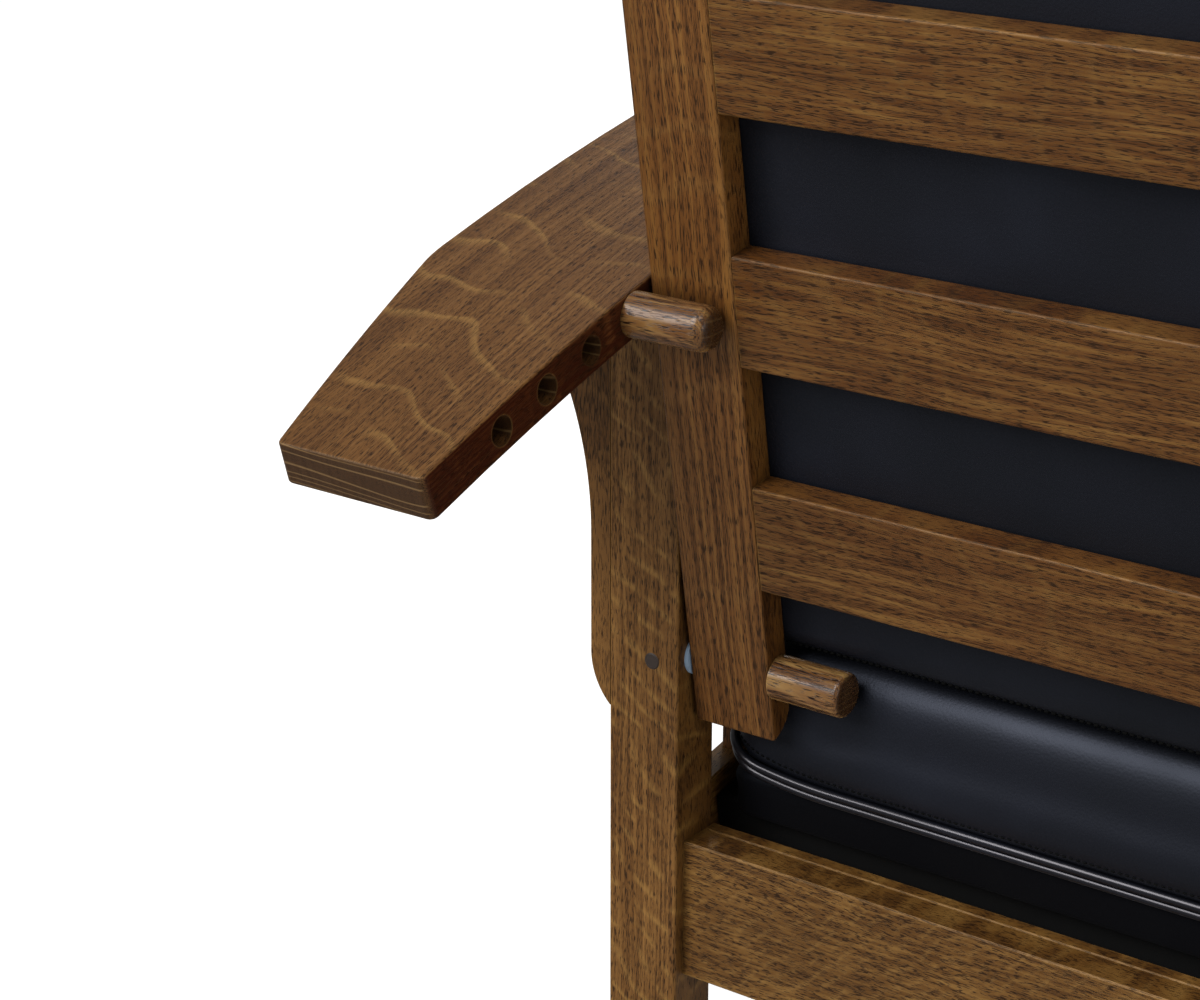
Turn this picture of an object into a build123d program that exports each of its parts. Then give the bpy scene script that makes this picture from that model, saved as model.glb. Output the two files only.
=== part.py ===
from build123d import *
from math import asin, atan, atan2, cos, hypot, sin, sqrt
import os

# A reclining armchair in the mission style. The oak frame has bow arms, and its slatted back turns on two
# pins and leans on two pegs that stand in holes of the arms. Millimetres, +Z up. The origin is on the floor
# in the middle of the chair, -Y is the front, and +X is the sitter's left.

os.makedirs("parts", exist_ok=True)

# The chair's plan and its legs
arm_reach = 461.0
inner_half = 275.0
leg_width = 50.0
leg_depth = 39.0
arm_past_rear_leg = 232.0
arm_past_front_leg = 51.0
glide_height = 3.0
glide_radius = 12.0
glide_pin_radius = 2.0
glide_pin_length = 14.0
arris = 2.0
small_arris = 1.0

# Fits
fit_gap = 0.1
running_gap = 0.05
rest_gap = 0.3
overrun = 20.0

# Bow arms
arm_top = 632.0
arm_radius = 2370.0
arm_apex_from_front = 106.0
arm_thickness = 28.2
arm_width = 143.5
arm_tail_width = 101.3
arm_taper = 182.0
arm_kink_radius = 90.0
arm_corner_radius = 5.0

# Peg holes along the arm, and the pegs
peg_hole_radius = 8.75
peg_hole_depth = 49.0
peg_hole_pitch = 41.65
peg_hole_count = 4
last_hole_to_end = 66.0
peg_head_radius = 13.5
peg_head_length = 55.0
peg_tenon_length = 45.0
peg_round = 8.5

# Pivot of the back
pivot_above_seat = 110.4
pin_head_radius = 13.7
pin_head_length = 48.5
pin_round = 3.5
pin_shank_radius = 6.25
pin_in_leg = 30.0
washer_radius = 12.5
washer_thickness = 2.5
plug_radius = 5.2
plug_depth = 8.0
plug_proud = 0.6
plug_from_inside = 18.8
plug_below_pin = 3.3

# The back
stile_width = 56.3
stile_thickness = 21.0
stile_top = 739.0
stile_foot = 40.5
slat_thickness = 19.0
slat_height = 68.0
slat_recess = 1.0
first_slat = 62.5
lowest_slat_gap = 75.5
slat_below_top = 15.0
slat_count = 5
slat_tongue = 20.0
slat_tongue_thickness = 10.0
slat_shoulder = 7.0

# Corbels under the arms
corbel_drop = 264.8
corbel_foot_width = 14.3
corbel_foot_height = 35.3
corbel_straight = 75.0
corbel_head_width = 72.0
corbel_foot_bulge_share = 0.15
corbel_sweep_share = 0.11

# Rails
rear_rail_top = 183.5
rear_rail_height = 92.0
rear_rail_thickness = 23.0
rear_rail_recess = 8.5
rear_strip_thickness = 10.5
rear_strip_height = 38.0
side_rail_inset = 9.0
side_rail_thickness = 18.0
side_rail_height = 92.0
side_rail_above_seat = 14.0
front_rail_height = 105.0
front_rail_thickness = 22.0
front_rail_recess = 8.0
rail_tenon_length = 22.0
rail_tenon_thickness = 10.0
rail_shoulder = 11.0
side_tenon_length = 11.0

# Slats under the arms
side_slat_width = 60.0
side_slat_thickness = 10.0
side_slat_inset = 4.0
side_slat_count = 5
side_slat_housing = 8.0

# Leg tenons in the arms
arm_tenon_width = 34.0
arm_tenon_depth = 23.0
blind_tenon_height = 16.0
through_tenon_proud = 1.6
through_tenon_chamfer = 1.4

# The seat frame, which slopes down to the rear
seat_slope = 0.185
seat_rear_gap = 16.0
seat_front_gap = 18.0
seat_rear_height = 194.6
seat_frame_gap = 1.5
seat_frame_thickness = 24.0
seat_frame_width = 50.0
seat_tongue = 12.0
seat_tongue_thickness = 8.0
seat_board_thickness = 6.0
seat_board_lap = 9.0
cleat_width = 20.0
cleat_height = 25.0
front_cleat_width = 26.0

# The boxed platform on the seat frame
platform_side_gap = 9.0
platform_rear_overhang = 10.0
platform_front_overhang = 36.0
platform_height = 32.5
platform_corner = 12.0
platform_draw_in = 2.5

# The loose seat cushion
seat_cushion_height = 80.0
seat_cushion_crown = 6.0
seat_cushion_side_gap = 10.0
seat_cushion_inset = 2.0
seat_cushion_bulge = 5.0
seat_cushion_draw = 8.0
seat_cushion_lean = 12.0

# The back cushion
back_cushion_side_gap = 21.0
back_cushion_foot = 10.5
back_cushion_below_top = 23.0
back_cushion_thickness = 84.0
back_cushion_crown = 18.0
back_cushion_rise = 17.0
back_cushion_lean = 14.0
back_cushion_bulge = 6.0
back_cushion_draw = 16.0

# Both cushions: places from the middle to an end, and what is left of their height, crown and ends there
station_shares = (0.0, 0.35, 0.65, 0.85, 0.95, 1.0)
height_shares = (1.0, 1.0, 1.0, 0.96, 0.84, 0.55)
crown_shares = (1.0, 0.93, 0.72, 0.45, 0.25, 0.1)
draw_shares = (0.0, 0.0, 0.02, 0.12, 0.4, 1.0)

# Places worked out from the sizes above
rear_leg_face = arm_reach - arm_past_rear_leg
front_leg_face = arm_reach - arm_past_front_leg
arm_apex = arm_apex_from_front - arm_reach
rear_leg_front = rear_leg_face - leg_depth
front_leg_rear = leg_depth - front_leg_face
rear_leg_middle = rear_leg_face - leg_depth / 2
front_leg_middle = leg_depth / 2 - front_leg_face
leg_middle = inner_half + leg_width / 2
arm_centre = arm_top - arm_radius
arm_under_radius = arm_radius - arm_thickness
arm_middle_radius = arm_radius - arm_thickness / 2
arm_end_angle = asin((arm_reach - arm_apex) / arm_radius)
arm_front_angle = asin((-arm_reach - arm_apex) / arm_radius)
pivot_height = seat_rear_height + pivot_above_seat
pivot = (0, rear_leg_middle, pivot_height)
seat_rear = rear_leg_front - seat_rear_gap


def arc_height(radius, y):
    """Height of an arc about the arms' centre, above the place y."""
    return arm_centre + sqrt(radius**2 - (y - arm_apex) ** 2)


def arc_place(radius, angle):
    """Place and height on an arc about the arms' centre, at an angle behind the apex."""
    return arm_apex + radius * sin(angle), arm_centre + radius * cos(angle)


def seat_height(y):
    """Height of the seat frame's top at the place y."""
    return seat_rear_height + seat_slope * (seat_rear - y)


# Peg holes, the first one nearest to the back
hole_angles = [
    arm_end_angle - (last_hole_to_end + peg_hole_pitch * step) / arm_middle_radius
    for step in reversed(range(peg_hole_count))
]
peg_place = arc_place(arm_middle_radius, hole_angles[0])

# The back leans on the pegs: its stiles lie one gap ahead of the peg heads
peg_run = (peg_place[0] - rear_leg_middle, peg_place[1] - pivot_height)
peg_offset = stile_thickness / 2 + peg_head_radius + rest_gap
back_angle = atan2(*peg_run) - asin(peg_offset / hypot(*peg_run))

# Side planes: across the chair, the back's own, and the seat's own
back_side = Plane(origin=pivot, x_dir=(0, -cos(back_angle), sin(back_angle)), z_dir=(-1, 0, 0))
seat_angle = atan(seat_slope)
seat_corner = (0, seat_rear, seat_rear_height)
seat_side = Plane(origin=seat_corner, x_dir=(0, cos(seat_angle), -sin(seat_angle)), z_dir=(1, 0, 0))
seat_top = Plane(origin=seat_corner, x_dir=(1, 0, 0), z_dir=(0, sin(seat_angle), cos(seat_angle)))

washer_gap = washer_thickness + rest_gap
stile_outer = inner_half - washer_gap
stile_inner = stile_outer - stile_width
slat_rear = slat_recess - stile_thickness / 2
slat_front = slat_rear + slat_thickness


def save(piece, name):
    """Names a finished piece and writes it."""
    piece.part.label = name
    export_step(piece.part, f"parts/{name}.step")


def save_pair(left, name):
    """Writes a piece of the left side and its twin on the right side."""
    save(left, f"{name}_left")
    with BuildPart() as right:
        mirror(left.part, about=Plane.YZ)
    save(right, f"{name}_right")


def block(xs, ys, zs, mode=Mode.ADD):
    """A box between two places along each axis."""
    with BuildSketch(Plane.XY.offset(zs[0])) as base:
        with Locations(((xs[0] + xs[1]) / 2, (ys[0] + ys[1]) / 2)):
            Rectangle(xs[1] - xs[0], ys[1] - ys[0])
    extrude(base.sketch, amount=zs[1] - zs[0], mode=mode)


def slab(plane, low, high, amount, mode=Mode.ADD):
    """A board whose section on a plane runs from one corner to the other."""
    with BuildSketch(plane) as section:
        with Locations(((low[0] + high[0]) / 2, (low[1] + high[1]) / 2)):
            Rectangle(high[0] - low[0], high[1] - low[1])
    extrude(section.sketch, amount=amount, mode=mode)


def outline(plane, points, amount, mode=Mode.ADD):
    """A board with a straight-sided outline on a plane."""
    with BuildSketch(plane) as shape:
        with BuildLine():
            Polyline(*points, close=True)
        make_face()
    extrude(shape.sketch, amount=amount, mode=mode)


def under_arm(plane, front, rear, low, amount, mode=Mode.ADD):
    """A board whose upper edge follows the underside of the arms."""
    radius = arm_under_radius - fit_gap / 2
    middle = (front + rear) / 2
    with BuildSketch(plane) as shape:
        with BuildLine():
            Polyline(
                (front, arc_height(radius, front)),
                (front, low),
                (rear, low),
                (rear, arc_height(radius, rear)),
            )
            ThreePointArc(
                (rear, arc_height(radius, rear)),
                (middle, arc_height(radius, middle)),
                (front, arc_height(radius, front)),
            )
        make_face()
    extrude(shape.sketch, amount=amount, mode=mode)


def bore(plane, place, radius, amount):
    """A round hole from a plane, along its normal."""
    with BuildSketch(plane) as mouth:
        with Locations(place):
            Circle(radius)
    extrude(mouth.sketch, amount=amount, mode=Mode.SUBTRACT)


def turned(plane, points):
    """A turned piece about a plane's first axis, from the points of half its outline."""
    with BuildSketch(plane) as profile:
        with BuildLine():
            Polyline(*points, close=True)
        make_face()
    revolve(profile.sketch, axis=Axis(plane.origin, plane.x_dir))


# Tenons: each is a pair of ranges that the mortise repeats one gap larger
def wider(span, gap):
    """A range grown by a gap at both ends."""
    return span[0] - gap, span[1] + gap


def centred(middle, size):
    """A range of a size about its middle."""
    return middle - size / 2, middle + size / 2


arm_tenon_x = centred(leg_middle, arm_tenon_width)
rear_tenon_y = centred(rear_leg_middle, arm_tenon_depth)
front_tenon_y = centred(front_leg_middle, arm_tenon_depth)
blind_tenon_top = arc_height(arm_under_radius, rear_leg_middle) + blind_tenon_height
through_tenon_top = arc_height(arm_radius, front_leg_middle) + through_tenon_proud

rear_rail_y = (
    rear_leg_face - rear_rail_recess - rear_rail_thickness,
    rear_leg_face - rear_rail_recess,
)
rear_rail_z = (rear_rail_top - rear_rail_height, rear_rail_top)
rear_rail_tenon_y = centred(sum(rear_rail_y) / 2, rail_tenon_thickness)
rear_rail_tenon_z = wider(rear_rail_z, -rail_shoulder)

front_rail_y = (
    front_rail_recess - front_leg_face,
    front_rail_recess - front_leg_face + front_rail_thickness,
)
front_rail_top = seat_height(front_rail_y[1])
front_rail_z = (front_rail_top - front_rail_height, front_rail_top)
front_rail_tenon_y = centred(sum(front_rail_y) / 2, rail_tenon_thickness)
front_rail_tenon_z = wider(front_rail_z, -rail_shoulder)
seat_frame_length = (seat_rear - front_rail_y[1] - seat_front_gap) / cos(seat_angle)

side_rail_x = (inner_half + side_rail_inset, inner_half + side_rail_inset + side_rail_thickness)
side_rail_middle = sum(side_rail_x) / 2
side_tenon_x = centred(side_rail_middle, rail_tenon_thickness)


def side_rail_top(y):
    """Height of a side rail's upper edge at the place y."""
    return seat_height(y) + side_rail_above_seat


def side_tenon_z(y):
    """Height range of a side rail's tenon where it enters a leg at the place y."""
    top = side_rail_top(y)
    return top - side_rail_height + rail_shoulder, top - rail_shoulder


side_slat_room = rear_leg_front - front_leg_rear - side_slat_count * side_slat_width
side_slat_gap = side_slat_room / (side_slat_count + 1)
side_slat_x = (side_rail_x[0] + side_slat_inset, side_rail_x[0] + side_slat_inset + side_slat_thickness)
side_slat_rears = [
    rear_leg_front - side_slat_gap - (side_slat_width + side_slat_gap) * step
    for step in range(side_slat_count)
]


def side_slat_points(rear, gap=0.0):
    """Outline of a slat under an arm, with both ends let into their housings."""
    ends = (rear - side_slat_width - gap, rear + gap)
    low = [(y, side_rail_top(y) - side_slat_housing - gap) for y in ends]
    high = [(y, arc_height(arm_under_radius, y) + side_slat_housing + gap) for y in reversed(ends)]
    return low + high


# Legs
with BuildPart() as rear_leg:
    under_arm(Plane.YZ.offset(inner_half), rear_leg_front, rear_leg_face, glide_height, leg_width)
    inner_edges, outer_edges = rear_leg.edges().filter_by(Axis.Z).group_by(Axis.X)
    fillet(inner_edges, radius=arris)
    fillet(outer_edges, radius=small_arris)
    block(arm_tenon_x, rear_tenon_y, (rear_rail_top, blind_tenon_top))
    block(
        (inner_half, inner_half + rail_tenon_length + fit_gap),
        wider(rear_rail_tenon_y, fit_gap),
        wider(rear_rail_tenon_z, fit_gap),
        Mode.SUBTRACT,
    )
    block(
        wider(side_tenon_x, fit_gap),
        (rear_leg_front, rear_leg_front + side_tenon_length + fit_gap),
        wider(side_tenon_z(rear_leg_front), fit_gap),
        Mode.SUBTRACT,
    )
    bore(Plane.YZ.offset(inner_half), pivot[1:], pin_shank_radius + running_gap, pin_in_leg + fit_gap)
    bore(
        Plane.XZ.offset(-rear_leg_face),
        (inner_half + plug_from_inside, pivot_height - plug_below_pin),
        plug_radius + running_gap,
        plug_depth + fit_gap,
    )
    bore(
        Plane.XY.offset(glide_height),
        (leg_middle, rear_leg_middle),
        glide_pin_radius + running_gap,
        glide_pin_length + fit_gap,
    )
save_pair(rear_leg, "rear_leg")

with BuildPart() as front_leg:
    under_arm(Plane.YZ.offset(inner_half), -front_leg_face, front_leg_rear, glide_height, leg_width)
    inner_edges, outer_edges = front_leg.edges().filter_by(Axis.Z).group_by(Axis.X)
    fillet(inner_edges, radius=arris)
    fillet(outer_edges, radius=small_arris)
    block(arm_tenon_x, front_tenon_y, (front_rail_top, through_tenon_top))
    chamfer(front_leg.faces().sort_by(Axis.Z)[-1].edges(), length=through_tenon_chamfer)
    block(
        (inner_half, inner_half + rail_tenon_length + fit_gap),
        wider(front_rail_tenon_y, fit_gap),
        wider(front_rail_tenon_z, fit_gap),
        Mode.SUBTRACT,
    )
    block(
        wider(side_tenon_x, fit_gap),
        (front_leg_rear - side_tenon_length - fit_gap, front_leg_rear),
        wider(side_tenon_z(front_leg_rear), fit_gap),
        Mode.SUBTRACT,
    )
    bore(
        Plane.XY.offset(glide_height),
        (leg_middle, front_leg_middle),
        glide_pin_radius + running_gap,
        glide_pin_length + fit_gap,
    )
save_pair(front_leg, "front_leg")

# Corbels: a foot that swells out, a straight neck and a long hollow sweep to the arm
for corbel_name, front, rear in (
    ("rear_corbel", rear_leg_front, rear_leg_face),
    ("front_corbel", -front_leg_face, front_leg_rear),
):
    root = inner_half + leg_width
    top = arc_height(arm_under_radius, rear) + arm_thickness / 2
    foot = arc_height(arm_under_radius, rear) - corbel_drop
    knee = foot + corbel_foot_height
    neck = knee + corbel_straight
    rise = corbel_drop - corbel_foot_height - corbel_straight
    with BuildPart() as corbel:
        with BuildSketch(Plane.XZ.offset(-rear)) as side:
            with BuildLine():
                Line((root, top), (root, foot))
                ThreePointArc(
                    (root, foot),
                    (
                        root + corbel_foot_width * (0.5 + corbel_foot_bulge_share),
                        foot + corbel_foot_height * (0.5 - corbel_foot_bulge_share),
                    ),
                    (root + corbel_foot_width, knee),
                )
                Line((root + corbel_foot_width, knee), (root + corbel_foot_width, neck))
                ThreePointArc(
                    (root + corbel_foot_width, neck),
                    (
                        root + corbel_foot_width
                        + (corbel_head_width - corbel_foot_width) * (0.5 - 2 * corbel_sweep_share),
                        neck + rise * (0.5 + corbel_sweep_share / 2),
                    ),
                    (root + corbel_head_width, neck + rise),
                )
                Line((root + corbel_head_width, neck + rise), (root + corbel_head_width, top))
                Line((root + corbel_head_width, top), (root, top))
            make_face()
        extrude(side.sketch, amount=leg_depth)
        under_arm(Plane.YZ.offset(root), front, rear, foot, corbel_head_width, Mode.INTERSECT)
    save_pair(corbel, corbel_name)

# Bow arms, tapered behind the rear legs
with BuildPart() as arm:
    kink = arm_reach - arm_taper
    taper_overrun = overrun * (arm_width - arm_tail_width) / arm_taper
    with BuildSketch() as plan:
        with BuildLine():
            Polyline(
                (inner_half, -arm_reach - overrun),
                (inner_half + arm_width, -arm_reach - overrun),
                (inner_half + arm_width, kink),
                (inner_half + arm_tail_width - taper_overrun, arm_reach + overrun),
                (inner_half, arm_reach + overrun),
                close=True,
            )
        make_face()
        fillet(plan.vertices().sort_by_distance((inner_half + arm_width, kink))[0], radius=arm_kink_radius)
    extrude(amount=arm_top + overrun)
    with BuildSketch(Plane.YZ.offset(inner_half)) as side:
        with BuildLine():
            top_rear = arc_place(arm_radius, arm_end_angle)
            low_rear = arc_place(arm_under_radius, arm_end_angle)
            low_front = arc_place(arm_under_radius, arm_front_angle)
            top_front = arc_place(arm_radius, arm_front_angle)
            ThreePointArc(top_front, (arm_apex, arm_top), top_rear)
            Line(top_rear, low_rear)
            ThreePointArc(low_rear, (arm_apex, arm_top - arm_thickness), low_front)
            Line(low_front, top_front)
        make_face()
    extrude(amount=arm_width, mode=Mode.INTERSECT)
    for end in (0, -1):
        corners = arm.faces().sort_by(Axis.Y)[end].edges().filter_by(Axis.X, reverse=True)
        fillet(corners, radius=arm_corner_radius)
    fillet(arm.faces().sort_by(SortBy.AREA)[-2:].edges(), radius=arris)
    with BuildSketch(Plane.YZ.offset(inner_half)) as mouths:
        with Locations(*[arc_place(arm_middle_radius, angle) for angle in hole_angles]):
            Circle(peg_hole_radius)
    extrude(mouths.sketch, amount=peg_hole_depth, mode=Mode.SUBTRACT)
    block(
        wider(arm_tenon_x, fit_gap),
        wider(rear_tenon_y, fit_gap),
        (rear_rail_top, blind_tenon_top + fit_gap),
        Mode.SUBTRACT,
    )
    block(
        wider(arm_tenon_x, fit_gap),
        wider(front_tenon_y, fit_gap),
        (front_rail_top, arm_top + overrun),
        Mode.SUBTRACT,
    )
    for rear in side_slat_rears:
        outline(
            Plane.YZ.offset(side_slat_x[0] - fit_gap),
            side_slat_points(rear, fit_gap),
            side_slat_thickness + 2 * fit_gap,
            Mode.SUBTRACT,
        )
save_pair(arm, "arm")

# Prop pegs
with BuildPart() as peg:
    shoulder = inner_half - rest_gap
    peg_end = shoulder - peg_head_length
    turned(
        Plane(origin=(0, *peg_place), x_dir=(1, 0, 0), z_dir=(0, -1, 0)),
        [
            (peg_end, 0),
            (peg_end, peg_head_radius),
            (shoulder, peg_head_radius),
            (shoulder, peg_hole_radius - fit_gap),
            (inner_half + peg_tenon_length, peg_hole_radius - fit_gap),
            (inner_half + peg_tenon_length, 0),
        ],
    )
    fillet(peg.edges().group_by(Axis.X)[0], radius=peg_round)
save_pair(peg, "prop_peg")

# Pivot pins, their washers and the plugs over their screws
with BuildPart() as pin:
    shoulder = stile_inner - rest_gap
    pin_end = shoulder - pin_head_length
    turned(
        Plane(origin=pivot, x_dir=(1, 0, 0), z_dir=(0, -1, 0)),
        [
            (pin_end, 0),
            (pin_end, pin_head_radius),
            (shoulder, pin_head_radius),
            (shoulder, pin_shank_radius),
            (inner_half + pin_in_leg, pin_shank_radius),
            (inner_half + pin_in_leg, 0),
        ],
    )
    fillet(pin.edges().group_by(Axis.X)[0], radius=pin_round)
save_pair(pin, "pivot_pin")

with BuildPart() as washer:
    with BuildSketch(Plane.YZ.offset(inner_half - washer_thickness)):
        with Locations(pivot[1:]):
            Circle(washer_radius)
            Circle(pin_shank_radius + running_gap, mode=Mode.SUBTRACT)
    extrude(amount=washer_thickness)
save_pair(washer, "pivot_washer")

with BuildPart() as plug:
    with BuildSketch(Plane.XZ.offset(-rear_leg_face - plug_proud)):
        with Locations((inner_half + plug_from_inside, pivot_height - plug_below_pin)):
            Circle(plug_radius)
    extrude(amount=plug_depth + plug_proud)
    chamfer(plug.edges().group_by(Axis.Y)[-1], length=plug_proud)
save_pair(plug, "leg_plug")

# Glides under the legs
for glide_name, y in (("rear_glide", rear_leg_middle), ("front_glide", front_leg_middle)):
    with BuildPart() as glide:
        with BuildSketch():
            with Locations((leg_middle, y)):
                Circle(glide_radius)
        extrude(amount=glide_height)
        chamfer(glide.edges().group_by(Axis.Z)[0], length=glide_height / 2)
        with BuildSketch(Plane.XY.offset(glide_height)):
            with Locations((leg_middle, y)):
                Circle(glide_pin_radius)
        extrude(amount=glide_pin_length)
    save_pair(glide, glide_name)

# Rear rail with its strip, and front rail
with BuildPart() as rear_rail:
    block((-inner_half, inner_half), rear_rail_y, rear_rail_z)
    chamfer(rear_rail.edges().filter_by(Axis.X), length=small_arris)
    block(
        (-inner_half - rail_tenon_length, inner_half + rail_tenon_length),
        rear_rail_tenon_y,
        rear_rail_tenon_z,
    )
save(rear_rail, "rear_rail")

with BuildPart() as rear_strip:
    block(
        (-inner_half, inner_half),
        (rear_rail_y[0] - rear_strip_thickness, rear_rail_y[0]),
        (rear_rail_top - rear_strip_height, rear_rail_top),
    )
    chamfer(rear_strip.edges().filter_by(Axis.X), length=small_arris)
save(rear_strip, "rear_rail_strip")

with BuildPart() as front_rail:
    outline(
        Plane.YZ.offset(-inner_half),
        [
            (front_rail_y[0], front_rail_z[0]),
            (front_rail_y[1], front_rail_z[0]),
            (front_rail_y[1], seat_height(front_rail_y[1])),
            (front_rail_y[0], seat_height(front_rail_y[0])),
        ],
        2 * inner_half,
    )
    chamfer(front_rail.edges().filter_by(Axis.X), length=small_arris)
    block(
        (-inner_half - rail_tenon_length, inner_half + rail_tenon_length),
        front_rail_tenon_y,
        front_rail_tenon_z,
    )
save(front_rail, "front_rail")

# Side rails, which rise to the front with the seat
with BuildPart() as side_rail:
    edges_y = (front_leg_rear, rear_leg_front)
    outline(
        Plane.YZ.offset(side_rail_x[0]),
        [(y, side_rail_top(y) - side_rail_height) for y in edges_y]
        + [(y, side_rail_top(y)) for y in reversed(edges_y)],
        side_rail_thickness,
    )
    long_edges = side_rail.edges().sort_by(SortBy.LENGTH)[-4:]
    chamfer(long_edges, length=small_arris)
    block(
        side_tenon_x,
        (rear_leg_front - rail_tenon_length, rear_leg_front + side_tenon_length),
        side_tenon_z(rear_leg_front),
    )
    block(
        side_tenon_x,
        (front_leg_rear - side_tenon_length, front_leg_rear + rail_tenon_length),
        side_tenon_z(front_leg_rear),
    )
    for rear in side_slat_rears:
        outline(
            Plane.YZ.offset(side_slat_x[0] - fit_gap),
            side_slat_points(rear, fit_gap),
            side_slat_thickness + 2 * fit_gap,
            Mode.SUBTRACT,
        )
save_pair(side_rail, "side_rail")

for place, rear in enumerate(side_slat_rears, start=1):
    with BuildPart() as side_slat:
        outline(Plane.YZ.offset(side_slat_x[0]), side_slat_points(rear), side_slat_thickness)
        chamfer(side_slat.edges().filter_by(Axis.Z), length=small_arris)
    save_pair(side_slat, f"side_slat_{place}")

# The back: two stiles and the slats between them
second_slat = first_slat + slat_height + lowest_slat_gap
slat_pitch = (stile_top - slat_below_top - slat_height - second_slat) / (slat_count - 2)
slat_feet = [first_slat] + [second_slat + slat_pitch * step for step in range(slat_count - 1)]
tongue_x = centred(slat_rear + slat_thickness / 2, slat_tongue_thickness)

with BuildPart() as stile:
    half = stile_thickness / 2
    with BuildSketch(back_side.offset(-stile_outer)) as side:
        with BuildLine():
            Polyline(
                (half, stile_thickness - stile_foot),
                (half, stile_top),
                (-half, stile_top),
                (-half, -stile_foot),
            )
            RadiusArc((-half, -stile_foot), (half, stile_thickness - stile_foot), -stile_thickness)
        make_face()
    extrude(side.sketch, amount=stile_width)
    fillet(stile.faces().sort_by(SortBy.AREA)[-2:].edges().filter_by(GeomType.LINE), radius=arris)
    for foot in slat_feet:
        slab(
            back_side.offset(-stile_inner),
            (tongue_x[0] - fit_gap, foot + slat_shoulder - fit_gap),
            (tongue_x[1] + fit_gap, foot + slat_height - slat_shoulder + fit_gap),
            -slat_tongue - fit_gap,
            Mode.SUBTRACT,
        )
    bore(Plane.YZ.offset(stile_inner), pivot[1:], pin_shank_radius + running_gap, stile_width)
save_pair(stile, "back_stile")

for place, foot in enumerate(slat_feet, start=1):
    with BuildPart() as back_slat:
        slab(
            back_side.offset(-stile_inner),
            (slat_rear, foot),
            (slat_front, foot + slat_height),
            2 * stile_inner,
        )
        fillet(back_slat.edges().filter_by(Axis.X), radius=arris)
        slab(
            back_side.offset(-stile_inner - slat_tongue),
            (tongue_x[0], foot + slat_shoulder),
            (tongue_x[1], foot + slat_height - slat_shoulder),
            2 * (stile_inner + slat_tongue),
        )
    save(back_slat, f"back_slat_{place}")

# Cleats on the rails, under the seat frame
cleat_ends = (front_leg_rear + rail_shoulder, rear_leg_front - rail_shoulder)
with BuildPart() as cleat:
    outline(
        Plane.YZ.offset(side_rail_x[0] - cleat_width),
        [(y, seat_height(y) - seat_frame_thickness / cos(seat_angle) - cleat_height) for y in cleat_ends]
        + [(y, seat_height(y) - seat_frame_thickness / cos(seat_angle)) for y in reversed(cleat_ends)],
        cleat_width,
    )
save_pair(cleat, "side_cleat")

front_cleat_y = (front_rail_y[1], front_rail_y[1] + front_cleat_width)
with BuildPart() as front_cleat:
    outline(
        Plane.YZ.offset(cleat_width - inner_half),
        [(y, front_rail_z[0] + front_cleat_width) for y in front_cleat_y]
        + [(y, seat_height(y) - seat_frame_thickness / cos(seat_angle)) for y in reversed(front_cleat_y)],
        2 * (inner_half - cleat_width),
    )
save(front_cleat, "front_cleat")

# The seat frame: two long members, two cross members with tongues, and a board let into them
frame_outer = side_rail_x[0] - seat_frame_gap
frame_inner = frame_outer - seat_frame_width
tongue_low = -(seat_frame_thickness + seat_tongue_thickness) / 2
cross_spans = {
    "seat_frame_rear": (-seat_frame_width, 0.0),
    "seat_frame_front": (-seat_frame_length, seat_frame_width - seat_frame_length),
}
board_span = (cross_spans["seat_frame_front"][1] - seat_board_lap, -seat_frame_width + seat_board_lap)

with BuildPart() as member:
    slab(
        seat_side.offset(frame_inner),
        (-seat_frame_length, -seat_frame_thickness),
        (0, 0),
        seat_frame_width,
    )
    for span in cross_spans.values():
        slab(
            seat_side.offset(frame_inner),
            (span[0] - fit_gap, tongue_low - fit_gap),
            (span[1] + fit_gap, tongue_low + seat_tongue_thickness + fit_gap),
            seat_tongue + fit_gap,
            Mode.SUBTRACT,
        )
    slab(
        seat_side.offset(frame_inner),
        (board_span[0] - fit_gap, -seat_board_thickness),
        (board_span[1] + fit_gap, overrun),
        seat_board_lap + fit_gap,
        Mode.SUBTRACT,
    )
save_pair(member, "seat_frame_side")

for cross_name, span in cross_spans.items():
    with BuildPart() as cross:
        slab(
            seat_side.offset(-frame_inner),
            (span[0], -seat_frame_thickness),
            (span[1], 0),
            2 * frame_inner,
        )
        slab(
            seat_side.offset(-frame_inner - seat_tongue),
            (span[0], tongue_low),
            (span[1], tongue_low + seat_tongue_thickness),
            2 * (frame_inner + seat_tongue),
        )
        slab(
            seat_side.offset(-frame_inner - overrun),
            (board_span[0] - fit_gap, -seat_board_thickness),
            (board_span[1] + fit_gap, overrun),
            2 * (frame_inner + overrun),
            Mode.SUBTRACT,
        )
    save(cross, cross_name)

with BuildPart() as seat_board:
    slab(
        seat_side.offset(-frame_inner - seat_board_lap),
        (board_span[0], -seat_board_thickness),
        (board_span[1], 0),
        2 * (frame_inner + seat_board_lap),
    )
save(seat_board, "seat_board")

# The platform: a leather box with slightly hollow sides
platform_span = (-seat_frame_length - platform_front_overhang, platform_rear_overhang)
with BuildPart() as platform:
    for share, draw in ((0.0, 0.0), (0.5, platform_draw_in), (1.0, 0.0)):
        with BuildSketch(seat_top.offset(share * platform_height)):
            with Locations((0, sum(platform_span) / 2)):
                RectangleRounded(
                    2 * (inner_half - platform_side_gap - draw),
                    platform_span[1] - platform_span[0] - 2 * draw,
                    platform_corner - draw,
                )
    loft(ruled=True)
save(platform, "seat_platform")


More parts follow.
